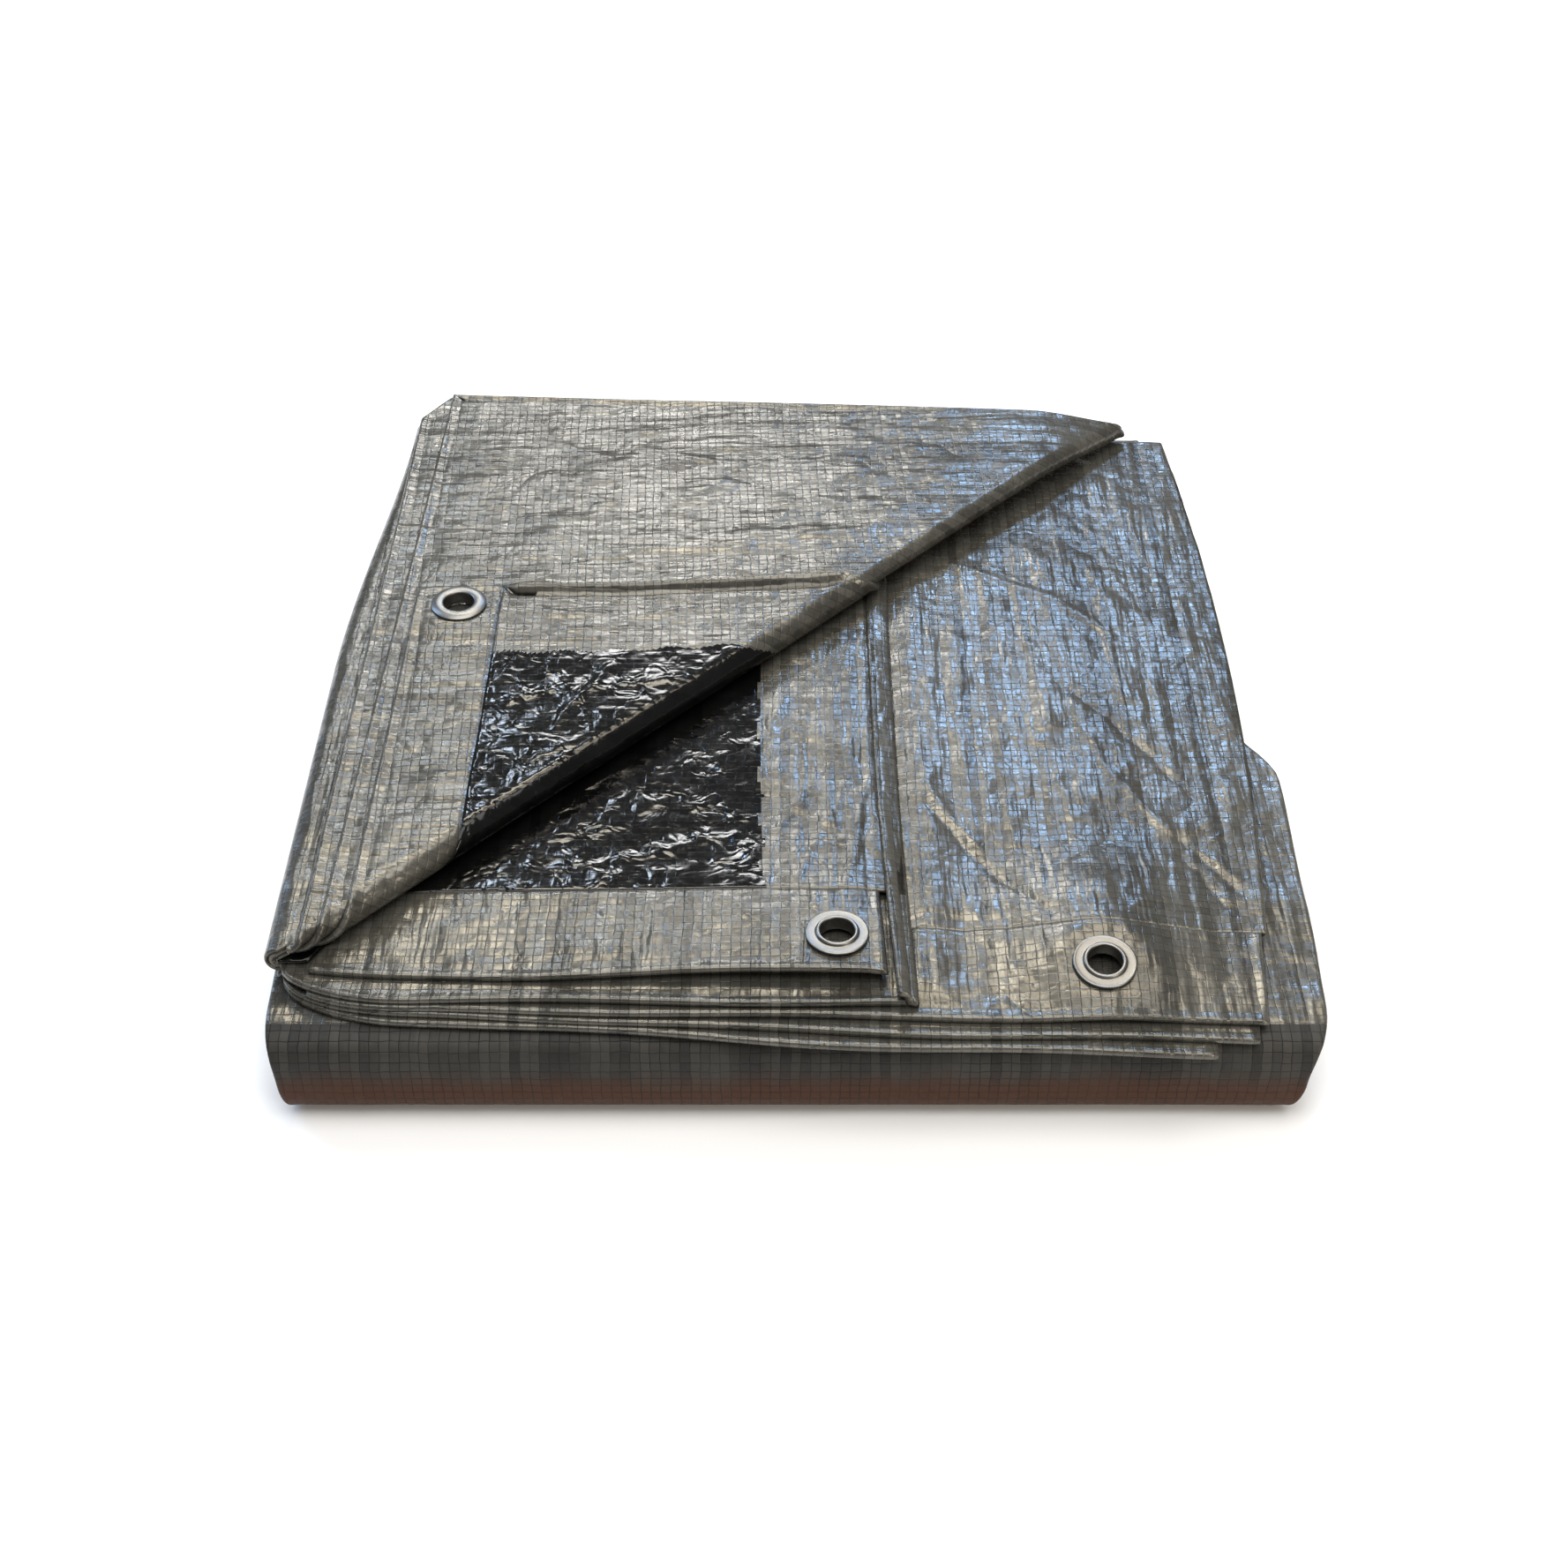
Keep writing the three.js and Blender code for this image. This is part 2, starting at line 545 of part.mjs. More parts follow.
function addPart(name, solid, material) {
  const { vertProperties, triVerts } = solid.getMesh();
  const geometry = new THREE.BufferGeometry();
  geometry.setAttribute('position', new THREE.BufferAttribute(new Float32Array(vertProperties), 3));
  geometry.setIndex(new THREE.BufferAttribute(new Uint32Array(triVerts), 1));
  geometry.translate(-PLAN_CENTRE.x, -PLAN_CENTRE.y, 0);
  geometry.computeVertexNormals();
  const mesh = new THREE.Mesh(geometry, material);
  mesh.name = name;
  root.add(mesh);
}

// One body: slivers left where two sheets only just meet are dropped.
const tarp = Manifold.union([blockSolid(), outerRibbon(), innerRibbon(), flapSolid()]).decompose()
  .reduce((best, body) => (body.volume() > best.volume() ? body : best)).simplify(0.005);
addPart('sheeting', tarp, silver);
addPart('hem_upper', hemStrip('A', 'upper', 8).subtract(boreCutter(seats.upper)), silver);
addPart('hem_middle', hemStrip('C', 'middle', 10).subtract(boreCutter(seats.middle)), silver);
addPart('hem_flap', flapHem().subtract(boreCutter(seats.flap)), silver);
addPart('eyelet_upper', eyeletSolid(seats.upper, true), metal);
addPart('eyelet_middle', eyeletSolid(seats.middle, true), metal);
addPart('eyelet_flap', eyeletSolid(seats.flap, false), metal);

export default root;
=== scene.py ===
import bpy
import numpy as np
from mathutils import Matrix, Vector


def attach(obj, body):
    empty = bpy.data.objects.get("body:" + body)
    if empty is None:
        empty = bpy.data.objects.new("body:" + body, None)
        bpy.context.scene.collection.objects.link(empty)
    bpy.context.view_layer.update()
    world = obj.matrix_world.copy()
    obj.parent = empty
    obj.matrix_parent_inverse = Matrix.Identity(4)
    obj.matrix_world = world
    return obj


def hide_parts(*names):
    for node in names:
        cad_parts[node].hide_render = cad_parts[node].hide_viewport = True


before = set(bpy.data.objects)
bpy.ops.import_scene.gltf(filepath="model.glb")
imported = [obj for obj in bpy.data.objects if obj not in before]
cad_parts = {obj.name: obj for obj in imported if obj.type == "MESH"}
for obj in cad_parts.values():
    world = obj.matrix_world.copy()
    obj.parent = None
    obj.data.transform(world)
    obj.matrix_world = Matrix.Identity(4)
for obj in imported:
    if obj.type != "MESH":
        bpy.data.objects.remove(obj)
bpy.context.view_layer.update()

# Layout in millimetres, the same as the solids: Z up, the long front fold toward -Y.
MM = 0.001
PLAN_CENTRE = np.array([3.0, -8.535, 0.0])
TAPE = 3.15

# Lower stack: ten passes with five nested front folds.
BLOCK_SHEET = 1.8
BLOCK_PITCH = 3.55
BLOCK_FRONT_CENTRE = -164.0
FRONT_FLATNESS = 3.4
FRONT_BULGE = 1.08
# Columns: left inset, right inset, turn at the back; a row for each pass from the bottom.
BLOCK_PASSES = np.array([
    (6.0, 12.0, 158.0), (5.0, 10.0, 156.5), (3.0, 7.0, 161.0), (4.0, 5.0, 160.0), (2.0, 3.5, 152.0),
    (0.5, 3.0, 159.0), (1.5, 1.5, 158.0), (0.0, 2.0, 156.0), (1.0, 0.5, 157.0), (0.0, 0.0, 158.5),
])
BLOCK_ORDER = (5, 6, 7, 4, 3, 8, 9, 2, 1, 10)
# Columns: y, left end, right end.
BLOCK_PLAN = np.array([
    (-182, -166.0, 170.0), (-120, -167.0, 172.5), (-55, -168.0, 174.0), (-26, -167.2, 161.5),
    (30, -165.0, 160.0), (100, -160.0, 157.0), (165, -154.0, 150.0),
])

# Upper layers: middles of the sheets, and the edges of each.
SHEET = 1.4
HEM_SHEET = 1.5
LEVEL = dict(E=35.3, D=37.0, C=39.1, A2=40.9, A=42.7, B=44.5, C1=46.3, D1=48.1)
SPINE_X = -162.5
SPINE_FRONT = -153.5
SPINE_SKEW = dict(start=-10.0, reach=165.0, shift=10.0)
LEFT_END = SPINE_X + 1
LAYER_BACK = 154.0
HEM_WIDTH = 38.0
FLAP_HEM_WIDTH = 31.0
GAP = 0.45
STRIP_LEFT = dict(front=-154.0, inner=-136.0, clear=1.2)
BASE = dict(
    E=dict(front=-184.5, draw=11.5, right=133.0, right_back=145.0, bow=4.0, rise=0.0),
    D=dict(front=-180.0, draw=8.5, right=146.5, right_back=155.0, bow=9.0, rise=0.0),
    C=dict(front=-174.5, draw=3.5, right=149.5, right_back=158.0, bow=10.0, rise=-0.15),
    A2=dict(front=-170.5, draw=2.0, right=40.5, right_back=40.5, bow=-3.0, rise=0.0),
    A=dict(front=-160.5, draw=0.0, right=32.0, right_back=32.0, bow=-4.0, rise=0.0),
)
FRONT_DRAW = dict(start=-130.0, reach=190.0)

# The turned-back corner.
FOLD_POINT = np.array([0.0, 12.0])
FOLD_BEARING = np.radians(46.0)
FOLD_HEIGHT = 49.9
ALONG = np.array([np.cos(FOLD_BEARING), np.sin(FOLD_BEARING)])
ACROSS = np.array([np.sin(FOLD_BEARING), -np.cos(FOLD_BEARING)])
FLAP_LEFT = -159.5
FLAP = dict(
    B=dict(front_left=-148.0, front_right=-138.5, right_front=29.0, right_back=40.0),
    C1=dict(front_left=-152.0, front_right=-133.0, right_front=167.5, right_back=143.0),
    D1=dict(front_left=-154.0, front_right=-141.0, right_front=165.0, right_back=142.0, cut=16.0),
)
FAR_DROOP = dict(start=100.0, reach=45.0, drop=5.0)

# Eyelets and the places where the cloth is held up round them.
BORE_RADIUS = 5.5
FLANGE_RADIUS = 10.25
EYELETS = dict(upper=(15.0, -145.0), middle=(100.0, -154.0), flap=(-122.5, 13.0))
LIFTS = dict(
    A=dict(x=12, y=-158, reach_x=120, reach_y=82, height=3.6),
    C=dict(x=100, y=-136, reach_x=46, reach_y=52, height=5.2),
    B=dict(x=-124, y=14, reach_x=70, reach_y=70, height=3.0),
)

# Width of the pale band along an edge before the dark side of the cloth shows.
BAND = 39.0
# Sides of a turned layer's outline: front, far, both, and the welded side of its strip.
FRONT_SIDE, FAR_SIDE, OPEN_SIDES, WELD_SIDE = (0,), (1,), (0, 1), (2,)
RING_SIDES = 72

# Creases, listed one by one.  Columns: x0, y0, x1, y1, half width, height (a trough is negative).
CREASES_C = (
    (31, -55, 47, -74, 1.3, 0.7), (47, -74, 59, -97, 1.4, -1.0), (59, -97, 86, -133, 1.4, -1.1),
    (45, -62, 64, -98, 1.2, 0.8), (102, -12, 115, -29, 1.3, -0.8), (115, -29, 128, -50, 1.4, -1.1),
    (128, -50, 140, -72, 1.3, -0.7), (106, -35, 113, -60, 1.2, 0.7), (113, -60, 131, -91, 1.4, 0.8),
    (131, -91, 151, -120, 1.5, -1.0), (131, -100, 145, -126, 1.2, -0.7), (136, -96, 150, -112, 1.2, 0.7),
    (56, 68, 104, 42, 1.6, 0.9), (104, 42, 124, 17, 1.5, 0.7), (70, 30, 92, 12, 1.5, 0.5),
    (52, 44, 43, -172, 0.9, -0.5), (88, 20, 96, -40, 1.8, 0.4), (120, 90, 132, 40, 1.9, 0.5),
    (66, -30, 70, -80, 1.6, 0.35), (94, -60, 100, -104, 1.6, 0.4), (60, -128, 74, -160, 1.8, 0.6),
    (112, -128, 124, -122, 1.6, 0.7), (108, 110, 128, 70, 1.7, -0.4),
)
CREASES_A = (
    (26, 40, 29, -112, 1.3, 0.7), (28, -62, 18, -122, 1.4, 0.9), (-5, -95, 4, -74, 1.4, 0.7),
    (2, -118, 13, -86, 1.3, 0.8), (16, -100, 24, -84, 1.2, 0.6), (-60, -108, -20, -96, 1.8, 0.5),
    (-14, -60, -2, -20, 1.5, 0.4),
)
CREASES_C1 = (
    (-98, 69, -68, 55, 1.4, 0.9), (-68, 55, -40, 55, 1.5, 1.1), (-40, 55, 0, 61, 1.5, 1.1),
    (0, 61, 37, 70, 1.3, 0.9), (-137, 42, -92, 52, 1.5, 0.6), (-92, 52, -62, 46, 1.4, -0.7),
    (-64, 75, -44, 86, 1.5, 0.7), (-44, 86, -25, 104, 1.5, 0.8), (-25, 104, 7, 91, 1.5, -0.6),
    (-8, 97, 24, 84, 1.4, 0.5), (-97, 96, -68, 86, 1.6, 0.8), (-66, 138, -22, 142, 1.5, 0.7),
    (-22, 142, 40, 143, 1.4, 0.6), (-92, 128, -72, 118, 1.5, 0.6), (-60, 126, -24, 112, 1.5, 0.6),
    (-24, 112, 30, 118, 1.6, 0.5), (-132, 92, -104, 82, 1.6, 0.7), (-138, 74, -110, 62, 1.5, 0.5),
    (40, 128, 86, 134, 1.5, 0.5), (10, 108, 52, 100, 1.6, 0.5),
)
CREASES_B = (
    (-146, -5, -129, -7, 1.0, -0.7), (-129, -7, -108, -13, 1.0, -0.7), (-96, 26, -58, 18, 1.5, 0.5),
    (-60, 8, -34, 16, 1.4, 0.5), (-82, -52, -64, -18, 1.6, 0.9), (-100, -40, -78, -30, 1.6, 0.8),
    (-60, -30, -36, -26, 1.6, 0.8),
)



def lerp(a, b, t):
    return a + (b - a) * t


def ease(t):
    """Smooth step: 3t^2 - 2t^3 between 0 and 1."""
    t = np.clip(t, 0, 1)
    return t * t * (3 - 2 * t)


def station(y, column):
    """Block plan at y: smooth steps between the stations of BLOCK_PLAN."""
    k = np.clip(np.searchsorted(BLOCK_PLAN[:, 0], y) - 1, 0, len(BLOCK_PLAN) - 2)
    a, b = BLOCK_PLAN[k], BLOCK_PLAN[k + 1]
    return lerp(a[..., column], b[..., column], ease((y - a[..., 0]) / (b[..., 0] - a[..., 0])))


def lift(layer, x, y):
    """A raised cosine hump over an ellipse."""
    if layer not in LIFTS:
        return np.zeros(np.broadcast(x, y).shape)
    hump = LIFTS[layer]
    r = np.clip(np.hypot((x - hump["x"]) / hump["reach_x"], (y - hump["y"]) / hump["reach_y"]), 0, 1)
    return hump["height"] * 0.5 * (1 + np.cos(np.pi * r))


def lie(x, y):
    """The lie of the upper layers: a slow product of sines, sagging at the front right."""
    wave = 0.45 * np.sin(x / 41 + 0.8) * np.sin(y / 53 - 0.4)
    return wave - 1.6 * ease((x - 30) / 110) * ease((-152 - y) / 30) - 0.9 * ease((x - 90) / 80)


def lean(x, y):
    """The left spine moves in toward the back by a smooth step that fades across the stack."""
    fade = 1 - ease((x - SPINE_X) / 120)
    return SPINE_SKEW["shift"] * ease((y - SPINE_SKEW["start"]) / SPINE_SKEW["reach"]) * fade


def layer_height(layer, x, y):
    level = 2 * FOLD_HEIGHT - LEVEL["B"] if layer == "B" else LEVEL[layer] + BASE[layer]["rise"]
    return level + lie(x, y) + lift(layer, x, y)


def front_edge(layer, x):
    """A layer's front edge: a line that slants back to the left and is gathered there by a quarter ellipse."""
    edge = BASE[layer]
    out = 1 - np.clip((x - SPINE_X) / 42, 0, 1)
    slant = edge["draw"] * (1 - ease((x - FRONT_DRAW["start"]) / FRONT_DRAW["reach"]))
    front = edge["front"] + slant + 0.6 * np.sin(x / 19 + edge["front"])
    return lerp(SPINE_FRONT, front, np.sqrt(1 - out * out))


def right_edge(layer, y):
    """A layer's right edge: a straight line from front to back with a parabola's bow."""
    edge = BASE[layer]
    t = (y - edge["front"]) / (LAYER_BACK - edge["front"])
    return lerp(edge["right"], edge["right_back"], t) + edge["bow"] * 4 * t * (1 - t)


def crinkle(x, y, size, seed, waves=9, sharp=2.2):
    """Crumpled film: a sum of folded sines 1 - |sin|, each at its own bearing and bent by a slower sine."""
    rng = np.random.default_rng(seed)
    total = 0.0
    for bearing, phase, bend, scale in rng.uniform((0, 0, 0, 0.55), (np.pi, 6.3, 6.3, 1.7), (waves, 4)):
        c, s = np.cos(bearing), np.sin(bearing)
        along, side = x * c + y * s, y * c - x * s
        wave = along / (size * scale) + phase + 0.9 * np.sin(side / (size * scale * 2.3) + bend)
        mask = 0.5 + 0.5 * np.sin(side / (size * 4.1 * scale) + 2 * bend + along / (size * 5.3))
        total = total + ((1 - np.abs(np.sin(wave))) ** sharp - 0.25) * mask
    return total / np.sqrt(waves)


def creases(x, y, table):
    """Pressed creases: for each row a crest or trough that falls off with distance and fades at both ends."""
    total = np.zeros(np.broadcast(x, y).shape)
    for x0, y0, x1, y1, width, depth in table:
        dx, dy = x1 - x0, y1 - y0
        run = np.hypot(dx, dy)
        t = ((x - x0) * dx + (y - y0) * dy) / run**2
        wander = 0.5 * np.sin(7 * t + x0) + 0.15 * np.sin(19 * t + y0)
        side = ((x - x0) * dy - (y - y0) * dx) / run + wander
        ends = ease((t + 0.08) / 0.16) * ease((1.08 - t) / 0.16)
        total += 0.75 * depth * np.exp(-np.abs(side) / (1.0 * width)) * ends
    return total


def hem_profile(q, body, bead, groove=0.25):
    """Thickness near an edge q mm away: a round nose, a rolled bead, a shallow groove, then the cloth."""
    nose = np.sqrt(1 - (1 - np.clip(q / 1.2, 0, 1)) ** 2)
    roll = body + (bead - body) * np.exp(-((q / 2.6) ** 4)) - groove * np.exp(-(((q - 4.2) / 1.1) ** 2))
    return np.maximum(0.12, nose * roll)


def edge_columns(steps, front=True, back=True):
    """Places across a strip as (fraction, offset in mm) with extra rows at its rolled edges."""
    rolled = np.array([0, 0.12, 0.35, 0.7, 1.2, 1.9, 2.9, 4.4])
    fraction = [np.linspace(0, 1, steps)]
    offset = [np.zeros(steps)]
    offset[0] += np.where(front, 6.5, 0) * (1 - fraction[0]) - np.where(back, 6.5, 0) * fraction[0]
    if front:
        fraction.insert(0, np.zeros(len(rolled)))
        offset.insert(0, rolled)
    if back:
        fraction.append(np.ones(len(rolled)))
        offset.append(-rolled[::-1])
    return np.concatenate(fraction), np.concatenate(offset)


def sheet_piece(name, points, thick, flat, mats, top_index=0, bottom_index=0, hole=None):
    """A closed sheet: the grid of middle points moved half its thickness along its normals both ways."""
    n, m = points.shape[:2]
    du, dv = np.gradient(points, axis=0), np.gradient(points, axis=1)
    normal = np.cross(du, dv)
    normal /= np.linalg.norm(normal, axis=2, keepdims=True) + 1e-12
    half = np.broadcast_to(np.asarray(thick, float), (n, m))[..., None] / 2
    verts = np.concatenate([(points + normal * half).reshape(-1, 3), (points - normal * half).reshape(-1, 3)])
    ids = np.arange(n * m).reshape(n, m)
    low = n * m
    a, b, c, d = ids[:-1, :-1], ids[1:, :-1], ids[1:, 1:], ids[:-1, 1:]
    keep = np.ones((n - 1, m - 1), bool) if hole is None else ~hole
    top = np.stack([a, b, c, d], -1)[keep]
    under = np.stack([a, d, c, b], -1)[keep] + low
    pad = np.pad(keep, 1)
    west, east = keep & ~pad[1:-1, :-2], keep & ~pad[1:-1, 2:]
    south, north = keep & ~pad[:-2, 1:-1], keep & ~pad[2:, 1:-1]
    walls = [np.stack([p[mask], q[mask], q[mask] + low, p[mask] + low], -1)
             for mask, p, q in ((west, b, a), (east, d, c), (south, a, d), (north, c, b))]
    faces = np.concatenate([top, under] + walls)
    index = np.concatenate([
        np.broadcast_to(top_index, keep.shape)[keep], np.broadcast_to(bottom_index, keep.shape)[keep],
        np.full(len(faces) - 2 * keep.sum(), int(np.max(bottom_index)))])
    return mesh_piece(name, verts, faces, np.concatenate([flat.reshape(-1, 2)] * 2), mats, index)


def mesh_piece(name, verts, faces, flat, mats, index=None):
    """A mesh of quads put in at once, with its flat cloth position as a map and its place in its points."""
    mesh = bpy.data.meshes.new(name)
    used, faces = np.unique(faces, return_inverse=True)
    verts, flat = verts[used], flat[used]
    faces = faces.reshape(-1, 4)
    mesh.vertices.add(len(verts))
    mesh.vertices.foreach_set("co", ((verts - PLAN_CENTRE) * MM).astype(np.float32).ravel())
    mesh.loops.add(faces.size)
    mesh.loops.foreach_set("vertex_index", faces.astype(np.int32).ravel())
    mesh.polygons.add(len(faces))
    mesh.polygons.foreach_set("loop_start", np.arange(0, faces.size, 4, dtype=np.int32))
    mesh.polygons.foreach_set("use_smooth", np.ones(len(faces), bool))
    for mat in mats:
        mesh.materials.append(mat)
    if index is not None:
        mesh.polygons.foreach_set("material_index", index.astype(np.int32))
    layer = mesh.uv_layers.new(name="flat")
    layer.data.foreach_set("uv", (flat[faces.ravel()] / TAPE).astype(np.float32).ravel())
    mesh.update()
    mesh.validate()
    piece = bpy.data.objects.new(name, mesh)
    bpy.context.collection.objects.link(piece)
    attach(piece, "root")
    return piece


class Field:
    """A socket that takes part in Python expressions; each operator adds a Math node."""

    def __init__(self, graph, socket):
        self.graph, self.socket = graph, socket

    def math(self, operation, *others):
        return self.graph.math(operation, self, *others)

    def __add__(self, o): return self.math("ADD", o)
    def __radd__(self, o): return self.graph.math("ADD", o, self)
    def __sub__(self, o): return self.math("SUBTRACT", o)
    def __rsub__(self, o): return self.graph.math("SUBTRACT", o, self)
    def __mul__(self, o): return self.math("MULTIPLY", o)
    def __rmul__(self, o): return self.graph.math("MULTIPLY", o, self)
    def __truediv__(self, o): return self.math("DIVIDE", o)
    def __rtruediv__(self, o): return self.graph.math("DIVIDE", o, self)
    def __pow__(self, o): return self.math("POWER", o)
    def __neg__(self): return self.math("MULTIPLY", -1.0)
    def __abs__(self): return self.math("ABSOLUTE")


class Graph:
    """A material's nodes."""

    def __init__(self, name):
        self.material = bpy.data.materials.new(name)
        self.material.use_nodes = True
        self.tree = self.material.node_tree
        self.tree.nodes.clear()

    def node(self, kind, settings=None, inputs=None):
        node = self.tree.nodes.new(kind)
        for key, value in (settings or {}).items():
            setattr(node, key, value)
        for key, value in (inputs or {}).items():
            self.put(node.inputs[key], value)
        return node

    def put(self, socket, value):
        if isinstance(value, Field):
            value = value.socket
        if isinstance(value, bpy.types.NodeSocket):
            self.tree.links.new(value, socket)
        else:
            socket.default_value = value

    def out(self, kind, settings=None, inputs=None, output=0):
        return Field(self, self.node(kind, settings, inputs).outputs[output])

    def math(self, operation, *values):
        return self.out("ShaderNodeMath", {"operation": operation}, dict(enumerate(values)))

    def step(self, value, low, high):
        return self.out("ShaderNodeMapRange", {"interpolation_type": "SMOOTHSTEP"},
                        {"Value": value, "From Min": low, "From Max": high})

    def mix(self, factor, a, b):
        return self.out("ShaderNodeMix", {"data_type": "RGBA"}, {"Factor": factor, 6: a, 7: b}, 2)

    def vector(self, x, y, z=0.0):
        return self.out("ShaderNodeCombineXYZ", None, {0: x, 1: y, 2: z})

    def noise(self, vector, scale, detail=3.0, rough=0.55, warp=0.0):
        return self.out("ShaderNodeTexNoise", None, {
            "Vector": vector, "Scale": scale, "Detail": detail, "Roughness": rough, "Distortion": warp})

    def random(self, vector):
        return self.out("ShaderNodeTexWhiteNoise", {"noise_dimensions": "2D"}, {"Vector": vector})


def film(name, dark, light, rough, metal, weave, ripple_depth, crumple, line_depth, gloss=0.5, table_reflection_tint=None):
    """Woven tape under film: rounded tapes over and under, thin dark gaps, tone by tape, rippled gloss."""
    g = Graph(name)
    uv = g.node("ShaderNodeUVMap", {"uv_map": "flat"}).outputs[0]
    split = g.node("ShaderNodeSeparateXYZ", None, {0: uv})
    wobble = g.noise(uv, 0.35, 2.0)
    u = Field(g, split.outputs[0]) + 0.45 * (wobble - 0.5)
    v = Field(g, split.outputs[1]) + 0.45 * (wobble - 0.5)
    cell_u, cell_v = u.math("FLOOR"), v.math("FLOOR")
    side_u, side_v = abs((u - cell_u) * 2 - 1), abs((v - cell_v) * 2 - 1)
    over = ((cell_u + cell_v) * 0.5).math("FRACT") * 2
    show = g.step(g.noise(uv, 0.12, 2.0), 0.3, 0.62)
    gap = g.step(side_u.math("MAXIMUM", side_v), 0.86, 1.0) * (0.45 + 0.55 * show)
    relief = over * (1 - side_u**4) + (1 - over) * (1 - side_v**4)
    cell = g.random(g.vector(cell_u, cell_v))
    tape = 0.68 * g.random(g.vector(cell_u, 7.0)) + 0.32 * g.random(g.vector(3.0, cell_v))
    streak_u = g.noise(g.vector(u * 2.0, v * 0.3), 1.0, 2.0, 0.5)
    streak_v = g.noise(g.vector(u * 0.3, v * 2.0, 5.0), 1.0, 2.0, 0.5)
    streak = over * streak_u + (1 - over) * streak_v
    cloud = g.noise(uv, 0.05, 3.0)
    ripple = g.noise(g.vector(u * 0.42, v * 0.055, 2.0), 1.0, 2.0, 0.5, 0.5)
    ripple = ripple + 0.4 * g.noise(g.vector(u * 1.05, v * 0.16, 9.0), 1.0, 1.0, 0.5, 0.3)
    depth, scale = crumple
    crush = abs(g.noise(uv, 0.13 * scale, 1.6, 0.5, 0.9) - 0.5)
    crush = (crush + 0.4 * abs(g.noise(uv, 0.42 * scale, 1.5, 0.5, 0.7) - 0.5)) * (0.35 + 0.85 * show)
    tone = 0.06 * cell + 0.38 * tape + 0.22 * streak + 0.34 * cloud
    colour = g.mix(g.step(tone, 0.22, 0.78), (*dark, 1), (*light, 1))
    # Painted reflection: the front face of the stack is tinted brown over its bottom 15 to 27 mm, standing in for the
    # table's reflection.
    if table_reflection_tint:
        at = g.node("ShaderNodeSeparateXYZ", None, {0: g.node("ShaderNodeTexCoord").outputs["Object"]})
        painted_table_reflection = g.step(Field(g, at.outputs[2]) + 0.012 * (cloud - 0.5) + 0.004 * wobble, 0.027, 0.015)
        painted_table_reflection = painted_table_reflection * g.step(Field(g, at.outputs[1]), -0.148, -0.162)
        colour = g.mix(0.9 * painted_table_reflection, colour, (*table_reflection_tint, 1))
    colour = g.mix(gap * line_depth, colour, (*(0.18 * np.array(dark)), 1))
    height = weave * (relief - 0.8 * gap) + 0.5 * weave * streak
    height = height + ripple_depth * (1.3 - 0.8 * show) * ripple + depth * crush
    bump = g.node("ShaderNodeBump", None, {"Strength": 1.0, "Distance": 0.001, "Height": height})
    shade = g.node("ShaderNodeBsdfPrincipled", None, {
        "Base Color": colour, "Roughness": rough + 0.2 * (streak - 0.5) + 0.04 * (cell - 0.5),
        "Normal": bump.outputs[0], "Metallic": metal, "IOR": 1.5, "Specular IOR Level": gloss})
    g.node("ShaderNodeOutputMaterial", None, {"Surface": shade.outputs[0]})
    return g.material


def pressed_metal(name):
    """Pressed aluminium: pale metal with fine scuffs and soft dents."""
    g = Graph(name)
    at = g.node("ShaderNodeTexCoord").outputs["Object"]
    scuff = g.noise(at, 900.0, 3.0, 0.6)
    dent = g.noise(at, 160.0, 2.0, 0.5)
    bump = g.node("ShaderNodeBump", None, {"Strength": 0.35, "Distance": 0.0002, "Height": dent + 0.2 * scuff})
    shade = g.node("ShaderNodeBsdfPrincipled", None, {
        "Base Color": g.mix(scuff, (0.15, 0.147, 0.14, 1), (0.25, 0.245, 0.23, 1)), "Metallic": 1.0,
        "Roughness": 0.28 + 0.2 * scuff, "Normal": bump.outputs[0]})
    g.node("ShaderNodeOutputMaterial", None, {"Surface": shade.outputs[0]})
    return g.material


silver = film("silver_film", (0.050, 0.047, 0.039), (0.125, 0.119, 0.102), 0.27, 0.5, 0.04, 1.15, (0.9, 1.0), 0.68)
black = film("black_film", (0.0015, 0.0015, 0.0015), (0.004, 0.004, 0.004), 0.12, 0.0, 0.006, 0.25, (1.7, 0.9), 0.1,
             0.25)
# Darker copy of the silver film for the stack's front and sides: its darker colours are painted shade, and its brown
# foot colour is a painted reflection of the table.
lower = film("silver_film_painted_shade", (0.018, 0.018, 0.017), (0.050, 0.047, 0.042), 0.5, 0.1, 0.08, 0.5, (0.25, 1.0), 0.9,
             0.15, (0.056, 0.021, 0.009))
metal = pressed_metal("eyelet_metal")
CLOTH = (silver, black)
STACK_CLOTH = (silver, lower)


